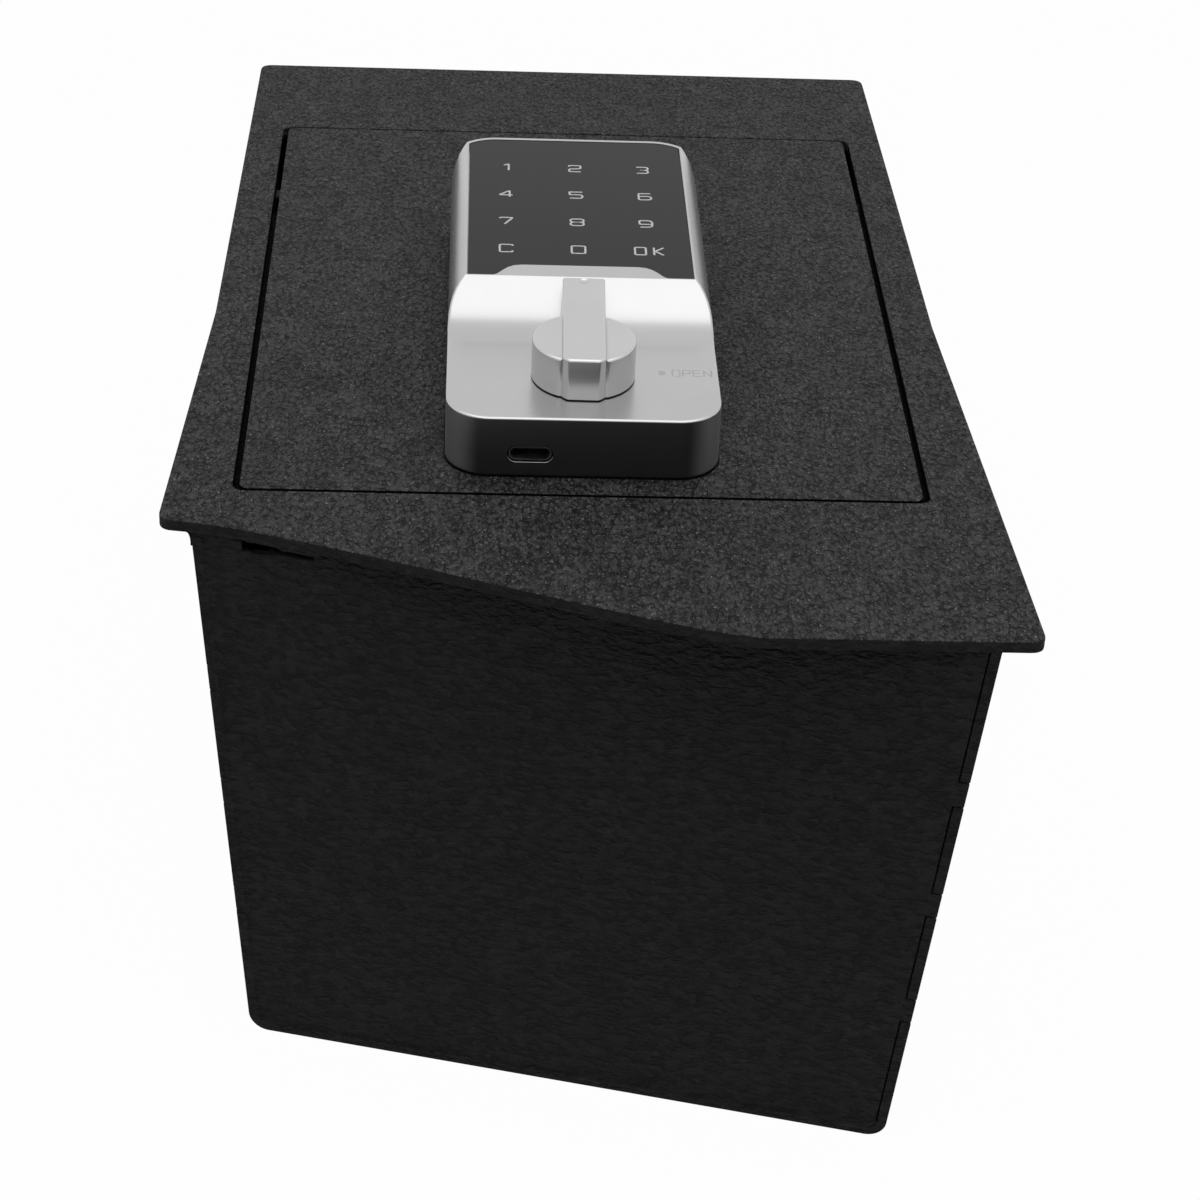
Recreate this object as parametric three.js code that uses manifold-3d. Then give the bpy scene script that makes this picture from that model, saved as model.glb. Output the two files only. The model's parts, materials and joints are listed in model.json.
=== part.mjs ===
// A vehicle console safe: a welded steel box with a wide top flange, and a flush door that
// carries a keypad lock with a turn knob. Millimetres; X is right, Y is back, Z is up.
// The parts are modelled with the origin in the middle of the door's top face. The last
// lines lift the whole safe, so that it stands on z = 0 with its box centred on x = y = 0.

import * as THREE from 'three';
import { mergeVertices } from 'three/addons/utils/BufferGeometryUtils.js';
import Module from 'manifold-3d';

const wasm = await Module();
wasm.setup();

// Clearances shared by many parts
const meshGap = 0.3;         // between a part and the neighbour that it is set into
const cutOverrun = 5;        // how far a cutting tool runs past the face it cuts
const roundSides = 40;       // facets on a full circle

// Door plate and the gaps round it
const doorWidth = 142;
const doorLength = 181;
const doorThickness = 2.5;
const doorCornerRadius = 2;
const doorSideGap = 1.4;
const doorFrontGap = 0.8;
const doorBackGap = 0.5;
const openingHalf = doorWidth / 2 + doorSideGap;
const openingFront = -doorLength / 2 - doorFrontGap;
const openingBack = doorLength / 2 + doorBackGap;

// Top flange, measured outward from the door opening
const flangeThickness = 2.5;
const flangeBackMargin = 39.9;
const flangeBackLeftMargin = 8.2;
const flangeBackRightMargin = 7.6;
const flangeWaistLeftMargin = 9.4;
const flangeWaistRightMargin = 9.7;
const flangeWaistY = -12;
const flangeLeftFlare = 14;
const flangeRightFlare = 16.4;
const flangeLeftReach = 12.4;
const flangeRightReach = 52.1;
const flangeStraightFront = 54.6;
const flangeCornerRadius = 3;
const sweepStartSlope = -0.08;
const sweepStartHandle = 22;
const sweepEndHandle = 15;
const sweepSegments = 20;

// Body walls
const bodyHeight = 131.5;    // door's top face to the underside of the floor
const wallThickness = 2;
const leftWallMargin = 7.5;  // door opening to the outer face of a side wall, at the flange
const rightWallMargin = 8;
const leftWallLean = 4.2;    // degrees, inward toward the floor
const rightWallLean = 5.1;
const bendRadius = 4.5;
const sharpestBend = 0.1;    // inside radius left where the wall is as thick as the bend
const backWallSetback = 3;
const frontWallLeftSetback = -0.1;
const frontWallRightSetback = 0.5;
const weldGap = 0.3;
const tabHeight = 6;
const tabPitch = 28.7;
const firstTabDepth = 38;    // below the door's top face
const tabCount = 3;
const ventLength = 14.8;     // unwelded slot at the top left of the front wall
const ventDeepLength = 5.2;
const ventDepth = 3.2;
const ventShallowDepth = 2.7;
const ventInset = 10.5;      // from the front wall's left edge
const boltHoleDiameter = 7;
const boltHoleInsetX = 45;
const boltHoleInsetY = 80;

// Door rest and latch lip, welded under the flange
const railThickness = 2;
const railReach = 5.5;       // how far a rail stands out under the door
const railWallClearance = 0.8;
const lipThickness = 3;
const lipReach = 4;
const lipDepth = 14;
const lipHalfLength = 58;
const lipCornerRadius = 2;

// Pivot hinge
const pivotInset = 30;       // from the door's back edge
const pivotDrop = 5.5;       // below the door's top face
const pinDiameter = 3.5;
const pinClearance = 0.3;
const pinHeadDiameter = 6.5;
const pinHeadThickness = 1.5;
const lugThickness = 3;
const lugInset = 0.6;        // from the door's side edge
const lugEyeRadius = 3;
const lugFrontLength = 12;
const lugTailLength = 11;
const lugTailRadius = 0.5;
const lugHeelRadius = 2.5;
const bracketThickness = 2.5;
const bracketHalfLength = 10;
const bracketDrop = 12;      // below the pivot's centre
const bracketCornerRadius = 2;
const stopPinDiameter = 3;
const doorOpenAngle = 100;   // degrees
const stopDistance = 7.9;    // pivot to where the stop pin meets the lug
const sideRunningGap = 0.2;

// Lock housing, on the door
const lockWidth = 57.8;
const lockLength = 122;
const lockFrontInset = 6.8;  // from the door's front edge
const lockFrontCornerRadius = 9.3;
const lockBackCornerRadius = 10.8;
const lockLowHeight = 14;
const lockHighHeight = 22;
const lockWall = 2;
const shoulderWidth = 3.5;
const shoulderDrop = 7.5;
const shoulderPull = 3.7;    // how far below the top the shoulder's curve is drawn
const shoulderTuck = 0.1;
const rampTopDistance = 49.25;   // from the lock's front face to the top edge of the ramp
const rampRadius = 22;
const lockFront = -doorLength / 2 + lockFrontInset;
const lockBack = lockFront + lockLength;
const lockHalf = lockWidth / 2;

// Keypad
const panelThickness = 1.2;
const panelSideRim = 0.65;   // bright metal rim left beside the panel
const panelBackRim = 1.1;
const windowCornerRadius = 5.6;  // of the opening under the panel
const panelSink = 0.15;
const panelNotchDepth = 5.65;
const panelNotchHalfTop = 12.95;
const panelNotchHalfBase = 19.45;
const panelFrontRim = 0.5;
const panelLedge = 2.4;
const panelLedgeThickness = 1.5;
const panelNotchTopHandle = 4.1;
const panelNotchBaseHandle = 1.7;
const panelPlay = 0.15;      // between the panel and its pocket
const boardThickness = 1.6;
const boardMargin = 2.2;
const boardCornerRadius = 7;

// USB-C socket
const usbWidth = 8.94;
const usbHeight = 3.26;
const usbDepth = 7.3;
const usbWall = 0.3;
const usbFlat = 0.1;         // straight stretch left on each end of the mouth
const usbCenterX = -11.1;
const usbCenterZ = 5.5;
const usbSink = 0.3;
const tongueWidth = 6.7;
const tongueThickness = 0.7;
const tongueLength = 4.5;

// Knob, spindle and latch
const knobFromFront = 18.9;  // lock's front face to the knob's axis
const knobRadius = 11;
const knobLift = 0.3;
const knobHeight = 8.8;
const gripWidth = 9.2;
const gripRise = 0.6;
const gripFrontReach = 11.2;
const gripBackReach = 26.8;
const gripEdge = 1.3;
const gripTipThickness = 4.2;
const knobRestTurn = 1.1;    // degrees clockwise, where the latched knob stands
const spindleDiameter = 8;
const spindleSquare = 6;
const spindleInKnob = 5;
const bushDiameter = 12;
const bushFlangeDiameter = 15;
const bushFlangeHeight = 2;
const bushNutAcrossFlats = 17;
const bushNutHeight = 3;
const camThickness = 3;
const camWidth = 13;
const camReach = 32;
const camTipWidth = 8;
const camTipRadius = 2;
const camHeelRadius = 4;
const camLipGap = 0.5;
const washerDiameter = 12;
const washerThickness = 1;
const threadDiameter = 5;
const camNutAcrossFlats = 8;
const camNutHeight = 4;
const threadTail = 1;
const motorDiameter = 10;
const motorLength = 16;
const motorOffsetX = 18;

// Battery case under the door
const batteryDiameter = 10.5;
const batteryLength = 44.5;
const batteryPitch = 11;
const batteryCount = 4;
const batteryPlay = 0.6;
const batteryNubDiameter = 3.8;
const batteryNubLength = 0.8;
const caseWall = 2;
const caseEndRoom = 1.7;     // past the back screws, to the case's outer face
const caseScrewRoom = 4.55;  // back screws' bosses to the last battery
const coverThickness = 2;
const contactThickness = 0.5;
const contactClearance = 0.4;
const connectorWidth = 9;
const connectorDepth = 5;
const connectorHeight = 9;
const connectorBackRoom = 1.75;
const connectorFrontRoom = 3.5;
const screwDiameter = 4;
const screwLength = 10;
const screwHeadDiameter = 6;
const screwHeadHeight = 2.2;
const bossRadius = 4;
const frontScrewX = 18;
const frontScrewFromFront = 43.7;   // from the lock's front face
const backScrewX = 14;
const coverScrewDiameter = 3;
const coverScrewHead = 5.5;
const coverScrewHeadHeight = 1.6;

const degrees = Math.PI / 180;

// Materials
function paint(color, roughness, metalness) {
  return new THREE.MeshStandardMaterial({ color, roughness, metalness });
}
const linerCoat = () => paint(0x232323, 0.75, 0.0);
const zincSteel = () => paint(0xa9acae, 0.4, 0.9);
const blackSteel = () => paint(0x2a2a2b, 0.5, 0.6);
const satinSilver = () => paint(0xb9bab8, 0.35, 0.8);
const darkPanel = () => paint(0x141414, 0.08, 0.0);
const greenBoard = () => paint(0x1f5a35, 0.6, 0.0);
const blackPlastic = () => paint(0x1b1b1c, 0.55, 0.0);
const brass = () => paint(0xb08d3c, 0.35, 0.9);
const batteryWrap = () => paint(0x3a6ea5, 0.4, 0.2);

// Solids: every shape is a three.js geometry first, and joins and cuts are made after that
function toSolid(geometry) {
  const bare = geometry.clone();
  bare.deleteAttribute('normal');
  bare.deleteAttribute('uv');
  const merged = mergeVertices(bare, 1e-4);
  const vertProperties = new Float32Array(merged.attributes.position.array);
  const triVerts = new Uint32Array(merged.index.array);
  return new wasm.Manifold(new wasm.Mesh({ numProp: 3, vertProperties, triVerts }));
}

function toGeometry(solid) {
  const mesh = solid.getMesh();
  const geometry = new THREE.BufferGeometry();
  geometry.setAttribute('position', new THREE.BufferAttribute(mesh.vertProperties, 3));
  geometry.setIndex(new THREE.BufferAttribute(mesh.triVerts, 1));
  geometry.computeVertexNormals();
  return geometry;
}

function box(x0, x1, y0, y1, z0, z1) {
  const geometry = new THREE.BoxGeometry(x1 - x0, y1 - y0, z1 - z0);
  geometry.translate((x0 + x1) / 2, (y0 + y1) / 2, (z0 + z1) / 2);
  return toSolid(geometry);
}

function cylinderZ(diameter, z0, z1, x = 0, y = 0) {
  const geometry = new THREE.CylinderGeometry(diameter / 2, diameter / 2, z1 - z0, roundSides);
  geometry.rotateX(Math.PI / 2);
  geometry.translate(x, y, (z0 + z1) / 2);
  return toSolid(geometry);
}

function cylinderX(diameter, x0, x1, y, z) {
  const geometry = new THREE.CylinderGeometry(diameter / 2, diameter / 2, x1 - x0, roundSides);
  geometry.rotateZ(Math.PI / 2);
  geometry.translate((x0 + x1) / 2, y, z);
  return toSolid(geometry);
}

function cylinderY(diameter, y0, y1, x, z) {
  const geometry = new THREE.CylinderGeometry(diameter / 2, diameter / 2, y1 - y0, roundSides);
  geometry.translate(x, (y0 + y1) / 2, z);
  return toSolid(geometry);
}

function hexZ(acrossFlats, z0, z1, x = 0, y = 0) {
  const radius = acrossFlats / 2 / Math.cos(Math.PI / 6);
  const geometry = new THREE.CylinderGeometry(radius, radius, z1 - z0, 6);
  geometry.rotateX(Math.PI / 2);
  geometry.translate(x, y, (z0 + z1) / 2);
  return toSolid(geometry);
}

const extrudeOptions = (depth) => ({ depth, bevelEnabled: false, curveSegments: 6 });

// A flat shape in X and Y, from z0 up to z1
function plateZ(shape, z0, z1) {
  const geometry = new THREE.ExtrudeGeometry(shape, extrudeOptions(z1 - z0));
  geometry.translate(0, 0, z0);
  return toSolid(geometry);
}

// A shape drawn in X and Z, run along Y
function prismY(shape, y0, y1) {
  const geometry = new THREE.ExtrudeGeometry(shape, extrudeOptions(y1 - y0));
  geometry.rotateX(Math.PI / 2);
  geometry.translate(0, y1, 0);
  return toSolid(geometry);
}

// A shape drawn in Y and Z, run along X
function prismX(shape, x0, x1) {
  const geometry = new THREE.ExtrudeGeometry(shape, extrudeOptions(x1 - x0));
  const axes = new THREE.Matrix4().makeBasis(
    new THREE.Vector3(0, 1, 0),
    new THREE.Vector3(0, 0, 1),
    new THREE.Vector3(1, 0, 0),
  );
  geometry.applyMatrix4(axes);
  geometry.translate(x0, 0, 0);
  return toSolid(geometry);
}

// A closed outline through [x, y, radius] corners, each corner rounded by its radius
function roundedShape(corners) {
  const shape = new THREE.Shape();
  corners.forEach(([x, y, radius], i) => {
    const corner = new THREE.Vector2(x, y);
    const before = new THREE.Vector2(...corners[(i + corners.length - 1) % corners.length]);
    const after = new THREE.Vector2(...corners[(i + 1) % corners.length]);
    const back = before.sub(corner).normalize();
    const ahead = after.sub(corner).normalize();
    const half = Math.acos(THREE.MathUtils.clamp(back.dot(ahead), -1, 1)) / 2;
    const start = corner.clone().addScaledVector(back, radius / Math.tan(half));
    if (i === 0) {
      shape.moveTo(start.x, start.y);
    } else {
      shape.lineTo(start.x, start.y);
    }
    if (radius > 0) {
      const end = corner.clone().addScaledVector(ahead, radius / Math.tan(half));
      const middle = back.clone().add(ahead).normalize();
      const center = corner.clone().addScaledVector(middle, radius / Math.sin(half));
      const startAngle = Math.atan2(start.y - center.y, start.x - center.x);
      const endAngle = Math.atan2(end.y - center.y, end.x - center.x);
      const clockwise = back.cross(ahead) > 0;
      shape.absarc(center.x, center.y, radius, startAngle, endAngle, clockwise);
    }
  });
  shape.closePath();
  return shape;
}

function roundedRectangle(x0, x1, y0, y1, radius) {
  return roundedShape([[x0, y0, radius], [x1, y0, radius], [x1, y1, radius], [x0, y1, radius]]);
}

function part(name, solid, material) {
  const mesh = new THREE.Mesh(toGeometry(solid), material);
  mesh.name = name;
  return mesh;
}

// Body: outline helpers
const leftWallX = -openingHalf - leftWallMargin;
const rightWallX = openingHalf + rightWallMargin;
const cutReach = rightWallX * 2;
const flangeBackY = openingBack + flangeBackMargin;
const flangeLeftX = -openingHalf - flangeLeftFlare;
const flangeRightX = openingHalf + flangeRightFlare;
const flangeLeftY = openingFront - flangeLeftReach;
const flangeRightY = openingFront - flangeRightReach;
const backWallY = flangeBackY - backWallSetback;
const underFlange = -flangeThickness;

// The body's cross-section, set in from the outer faces by inset
function bodySection(inset, top) {
  const lift = bodyHeight - inset;
  const radius = bendRadius - inset;
  const leftX = (depth) => leftWallX + depth * Math.tan(leftWallLean * degrees);
  const rightX = (depth) => rightWallX - depth * Math.tan(rightWallLean * degrees);
  const leftInset = inset / Math.cos(leftWallLean * degrees);
  const rightInset = inset / Math.cos(rightWallLean * degrees);
  const depthAt = (z) => underFlange - z;
  return roundedShape([
    [leftX(depthAt(top)) + leftInset, top, 0],
    [leftX(depthAt(-lift)) + leftInset, -lift, Math.max(radius, sharpestBend)],
    [rightX(depthAt(-lift)) - rightInset, -lift, Math.max(radius, sharpestBend)],
    [rightX(depthAt(top)) - rightInset, top, 0],
  ]);
}

// The front wall stands askew: this frame runs along its outer face
const frontLeft = new THREE.Vector2(leftWallX, flangeLeftY + frontWallLeftSetback);
const frontRight = new THREE.Vector2(rightWallX, flangeRightY + frontWallRightSetback);
const frontAngle = Math.atan2(frontRight.y - frontLeft.y, frontRight.x - frontLeft.x);

// A block along the front wall, from offset y0 to y1 behind its outer face
function frontSlab(y0, y1, z0, z1) {
  const reach = frontLeft.distanceTo(frontRight);
  const geometry = new THREE.BoxGeometry(reach * 2, y1 - y0, z1 - z0);
  geometry.translate(reach / 2, (y0 + y1) / 2, (z0 + z1) / 2);
  geometry.rotateZ(frontAngle);
  geometry.translate(frontLeft.x, frontLeft.y, 0);
  return toSolid(geometry);
}

const bodyFloor = -bodyHeight;
const tabDepths = Array.from({ length: tabCount }, (_, i) => -firstTabDepth - i * tabPitch);
const prismFront = Math.min(frontLeft.y, frontRight.y) - cutOverrun;

function makeTopFlange() {
  const outline = new THREE.Shape();
  const corner = flangeCornerRadius;
  const sweepStart = new THREE.Vector2(flangeLeftX + corner, flangeLeftY + corner * sweepStartSlope);
  const sweepEnd = new THREE.Vector2(flangeRightX - flangeStraightFront, flangeRightY);
  const backLeftX = -openingHalf - flangeBackLeftMargin;
  const backRightX = openingHalf + flangeBackRightMargin;
  outline.moveTo(backLeftX + corner, flangeBackY);
  outline.quadraticCurveTo(backLeftX, flangeBackY, backLeftX, flangeBackY - corner);
  outline.lineTo(-openingHalf - flangeWaistLeftMargin, flangeWaistY);
  outline.lineTo(flangeLeftX, flangeLeftY + corner);
  outline.quadraticCurveTo(flangeLeftX, flangeLeftY, sweepStart.x, sweepStart.y);
  const sweep = new THREE.CubicBezierCurve(
    sweepStart,
    new THREE.Vector2(sweepStart.x + sweepStartHandle, sweepStart.y + sweepStartHandle * sweepStartSlope),
    new THREE.Vector2(sweepEnd.x - sweepEndHandle, sweepEnd.y),
    sweepEnd,
  );
  for (const point of sweep.getPoints(sweepSegments)) {
    outline.lineTo(point.x, point.y);
  }
  outline.lineTo(flangeRightX - corner, flangeRightY);
  outline.quadraticCurveTo(flangeRightX, flangeRightY, flangeRightX, flangeRightY + corner);
  outline.lineTo(openingHalf + flangeWaistRightMargin, flangeWaistY);
  outline.lineTo(backRightX, flangeBackY - corner);
  outline.quadraticCurveTo(backRightX, flangeBackY, backRightX - corner, flangeBackY);
  outline.closePath();
  const openingRadius = doorCornerRadius + Math.min(doorFrontGap, doorBackGap);
  const opening = roundedRectangle(
    -openingHalf, openingHalf, openingFront, openingBack, openingRadius,
  );
  const plate = plateZ(outline, underFlange, 0);
  return plate.subtract(plateZ(opening, underFlange - cutOverrun, cutOverrun));
}

function makeBodyShell() {
  const outer = prismY(bodySection(0, underFlange), prismFront, backWallY);
  const inner = prismY(
    bodySection(wallThickness, underFlange + cutOverrun), prismFront - cutOverrun, backWallY + cutOverrun,
  );
  let shell = outer.subtract(inner);
  shell = shell.subtract(frontSlab(-bodyHeight, 0, bodyFloor - cutOverrun, cutOverrun));
  for (const z of tabDepths) {
    const low = z - tabHeight / 2 - weldGap;
    const high = z + tabHeight / 2 + weldGap;
    shell = shell.subtract(frontSlab(-cutOverrun, wallThickness + weldGap, low, high));
    const notchFront = backWallY - wallThickness - weldGap;
    shell = shell.subtract(
      box(-cutReach, cutReach, notchFront, backWallY + cutOverrun, low, high),
    );
  }
  for (const x of [-boltHoleInsetX, boltHoleInsetX]) {
    for (const y of [-boltHoleInsetY, boltHoleInsetY]) {
      const hole = cylinderZ(boltHoleDiameter, bodyFloor - cutOverrun, bodyFloor + cutOverrun, x, y);
      shell = shell.subtract(hole);
    }
  }
  return shell;
}

// A wall set between the shell's sides, with tabs that run out through the shell's notches
function closeWall(slab, y0, y1) {
  const full = prismY(bodySection(0, underFlange), y0, y1);
  let field = prismY(bodySection(wallThickness + weldGap, underFlange), y0, y1);
  for (const z of tabDepths) {
    const band = box(
      -cutReach, cutReach, y0 - cutOverrun, y1 + cutOverrun, z - tabHeight / 2, z + tabHeight / 2,
    );
    field = field.add(full.intersect(band));
  }
  return slab.intersect(field);
}

function makeFrontWall() {
  const slab = frontSlab(0, wallThickness, bodyFloor - cutOverrun, cutOverrun);
  const wall = closeWall(slab, prismFront, flangeLeftY + cutOverrun * 2);
  const ventStart = leftWallX + ventInset;
  const deep = box(
    ventStart, ventStart + ventDeepLength, prismFront, 0, underFlange - ventDepth, cutOverrun,
  );
  const shallow = box(
    ventStart, ventStart + ventLength, prismFront, 0, underFlange - ventShallowDepth, cutOverrun,
  );
  return wall.subtract(deep.add(shallow));
}

function makeBackWall() {
  const y0 = backWallY - wallThickness;
  const slab = box(-cutReach, cutReach, y0, backWallY, bodyFloor - cutOverrun, cutOverrun);
  return closeWall(slab, y0 - cutOverrun, backWallY + cutOverrun);
}

// Pivot hinge places
const pivotY = doorLength / 2 - pivotInset;
const pivotZ = -pivotDrop;
const bracketInner = openingHalf + sideRunningGap;
const bracketOuter = bracketInner + bracketThickness;
const lugOuter = doorWidth / 2 - lugInset;
const lugInner = lugOuter - lugThickness;
const doorUnder = -doorThickness;
const railFront = openingFront - lipDepth + lipReach;
const railBack = pivotY - lugFrontLength - lugEyeRadius;

// The wall's inner face, at a depth below the flange
function wallInnerX(side, depth) {
  const lean = side < 0 ? leftWallLean : rightWallLean;
  const outer = side < 0 ? -leftWallX : rightWallX;
  return outer - wallThickness / Math.cos(lean * degrees) - depth * Math.tan(lean * degrees);
}

function makeRestRail(side) {
  const inner = openingHalf - railReach;
  const outer = wallInnerX(side, railThickness) - railWallClearance;
  const rail = box(inner, outer, railFront, railBack, underFlange - railThickness, underFlange);
  return side < 0 ? mirrorX(rail) : rail;
}

function mirrorX(solid) {
  return solid.mirror([1, 0, 0]);
}

function makeLatchLip() {
  const back = openingFront + lipReach;
  const lip = roundedRectangle(-lipHalfLength, lipHalfLength, back - lipDepth, back, lipCornerRadius);
  return plateZ(lip, underFlange - lipThickness, underFlange);
}

// The stop pin sits where the lug's lower edge arrives when the door is fully open
function stopPinCenter() {
  const open = doorOpenAngle * degrees;
  const contactY = stopDistance * Math.cos(open) - lugEyeRadius * Math.sin(open);
  const contactZ = -stopDistance * Math.sin(open) - lugEyeRadius * Math.cos(open);
  const reach = stopPinDiameter / 2 + meshGap;
  return {
    y: pivotY + contactY - reach * Math.sin(open),
    z: pivotZ + contactZ - reach * Math.cos(open),
  };
}

function makeHingeBracket(side) {
  const top = pivotZ + pivotDrop - flangeThickness;
  const profile = roundedShape([
    [pivotY - bracketHalfLength, top, 0],
    [pivotY - bracketHalfLength, pivotZ - bracketDrop, bracketCornerRadius],
    [pivotY + bracketHalfLength, pivotZ - bracketDrop, bracketCornerRadius],
    [pivotY + bracketHalfLength, top, 0],
  ]);
  const stop = stopPinCenter();
  let bracket = prismX(profile, bracketInner, bracketOuter);
  bracket = bracket.add(cylinderX(stopPinDiameter, lugInner, bracketOuter, stop.y, stop.z));
  const bore = pinDiameter + 2 * pinClearance;
  bracket = bracket.subtract(
    cylinderX(bore, bracketInner - cutOverrun, bracketOuter + cutOverrun, pivotY, pivotZ),
  );
  return side < 0 ? mirrorX(bracket) : bracket;
}

// Door parts
function makeDoorPlate() {
  const outline = roundedRectangle(
    -doorWidth / 2, doorWidth / 2, -doorLength / 2, doorLength / 2, doorCornerRadius,
  );
  let plate = plateZ(outline, doorUnder, 0);
  const holes = [[bushDiameter, 0, knobY]];
  for (const [x, y] of lockScrewPlaces) {
    holes.push([screwDiameter, x, y]);
  }
  for (const [diameter, x, y] of holes) {
    plate = plate.subtract(
      cylinderZ(diameter + 2 * meshGap, doorUnder - cutOverrun, cutOverrun, x, y),
    );
  }
  return plate.subtract(connectorPocket(doorUnder - cutOverrun, cutOverrun));
}

function makeHingeLug(side) {
  const profile = roundedShape([
    [pivotY - lugFrontLength, doorUnder, 0],
    [pivotY - lugFrontLength, pivotZ - lugEyeRadius, lugHeelRadius],
    [pivotY + lugTailLength, pivotZ - lugEyeRadius, lugTailRadius],
    [pivotY + lugTailLength, doorUnder, 0],
  ]);
  const bore = pinDiameter + 2 * pinClearance;
  const lug = prismX(profile, lugInner, lugOuter).subtract(
    cylinderX(bore, lugInner - cutOverrun, lugOuter + cutOverrun, pivotY, pivotZ),
  );
  return side < 0 ? mirrorX(lug) : lug;
}

function makeHingePin(side) {
  const headInner = lugInner - meshGap - pinHeadThickness;
  const shank = cylinderX(pinDiameter, headInner, bracketOuter, pivotY, pivotZ);
  const head = cylinderX(pinHeadDiameter, headInner, lugInner - meshGap, pivotY, pivotZ);
  const trimmed = head.subtract(
    box(0, bracketOuter, pivotY - pinHeadDiameter, pivotY + pinHeadDiameter, doorUnder - meshGap, 0),
  );
  const pin = shank.add(trimmed);
  return side < 0 ? mirrorX(pin) : pin;
}

// Lock places
const knobY = lockFront + knobFromFront;
const rampTopY = lockFront + rampTopDistance;
const rampRise = lockHighHeight - lockLowHeight;
const rampRun = Math.sqrt(2 * rampRise * rampRadius - rampRise * rampRise);
const rampFootY = rampTopY - rampRun;
const frontScrewY = lockFront + frontScrewFromFront;
const backScrewY = lockBack - bossRadius;
const lastBatteryY = backScrewY - bossRadius - caseScrewRoom - batteryDiameter / 2;
const firstBatteryY = lastBatteryY - (batteryCount - 1) * batteryPitch;
const connectorY = firstBatteryY - (batteryDiameter + connectorDepth) / 2 - connectorBackRoom;
const lockScrewPlaces = [
  [-frontScrewX, frontScrewY],
  [frontScrewX, frontScrewY],
  [-backScrewX, backScrewY],
  [backScrewX, backScrewY],
];
const panelTop = lockHighHeight - panelSink;
const panelUnder = panelTop - panelThickness;
const panelHalf = lockHalf - shoulderWidth - panelSideRim;
const panelBackY = lockBack - panelBackRim;
const innerHigh = panelUnder - panelLedgeThickness;

function connectorPocket(z0, z1) {
  return box(
    -connectorWidth / 2 - meshGap, connectorWidth / 2 + meshGap,
    connectorY - connectorDepth / 2 - meshGap, connectorY + connectorDepth / 2 + meshGap,
    z0, z1,
  );
}

// Cross-section of the lock over its whole length, with the rounded shoulders of the keypad end
function lockSection(inset, top) {
  const half = lockHalf - inset;
  const shape = new THREE.Shape();
  shape.moveTo(-half, -cutOverrun);
  shape.lineTo(half, -cutOverrun);
  shape.lineTo(half, top - shoulderDrop);
  shape.quadraticCurveTo(half - shoulderTuck, top - shoulderPull, half - shoulderWidth, top);
  shape.lineTo(-half + shoulderWidth, top);
  shape.quadraticCurveTo(-half + shoulderTuck, top - shoulderPull, -half, top - shoulderDrop);
  shape.closePath();
  return shape;
}

function lockPlan(inset) {
  const half = lockHalf - inset;
  return roundedShape([
    [-half, lockFront + inset, lockFrontCornerRadius - inset],
    [half, lockFront + inset, lockFrontCornerRadius - inset],
    [half, lockBack - inset, lockBackCornerRadius - inset],
    [-half, lockBack - inset, lockBackCornerRadius - inset],
  ]);
}

// Everything above the low deck and in front of the keypad, cut away with a hollow ramp
function rampTool() {
  const shape = new THREE.Shape();
  const sweep = Math.asin(rampRun / rampRadius);
  shape.moveTo(lockFront - cutOverrun, lockLowHeight);
  shape.lineTo(rampFootY, lockLowHeight);
  shape.absarc(rampFootY, lockLowHeight + rampRadius, rampRadius, -Math.PI / 2, -Math.PI / 2 + sweep, false);
  shape.lineTo(rampTopY, lockHighHeight + cutOverrun);
  shape.lineTo(lockFront - cutOverrun, lockHighHeight + cutOverrun);
  shape.closePath();
  return prismX(shape, -lockWidth, lockWidth);
}

// The panel's back corners share their centres with the lock's, so the rim is even there
function panelShape(grow) {
  const half = panelHalf + grow;
  const front = rampTopY + panelFrontRim - grow;
  const notch = rampTopY + panelNotchDepth - grow;
  const shape = new THREE.Shape();
  const cornerX = lockHalf - lockBackCornerRadius;
  const cornerY = lockBack - lockBackCornerRadius;
  const radius = lockBackCornerRadius - panelBackRim + grow;
  const start = Math.acos((half - cornerX) / radius);
  shape.moveTo(-half, front);
  shape.lineTo(-panelNotchHalfBase + grow, front);
  shape.bezierCurveTo(
    -panelNotchHalfBase + grow + panelNotchBaseHandle, front,
    -panelNotchHalfTop + grow - panelNotchTopHandle, notch,
    -panelNotchHalfTop + grow, notch,
  );
  shape.lineTo(panelNotchHalfTop - grow, notch);
  shape.bezierCurveTo(
    panelNotchHalfTop - grow + panelNotchTopHandle, notch,
    panelNotchHalfBase - grow - panelNotchBaseHandle, front,
    panelNotchHalfBase - grow, front,
  );
  shape.lineTo(half, front);
  shape.lineTo(half, cornerY + radius * Math.sin(start));
  shape.absarc(cornerX, cornerY, radius, start, Math.PI / 2, false);
  shape.lineTo(-cornerX, cornerY + radius);
  shape.absarc(-cornerX, cornerY, radius, Math.PI / 2, Math.PI - start, false);
  shape.closePath();
  return shape;
}

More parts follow.
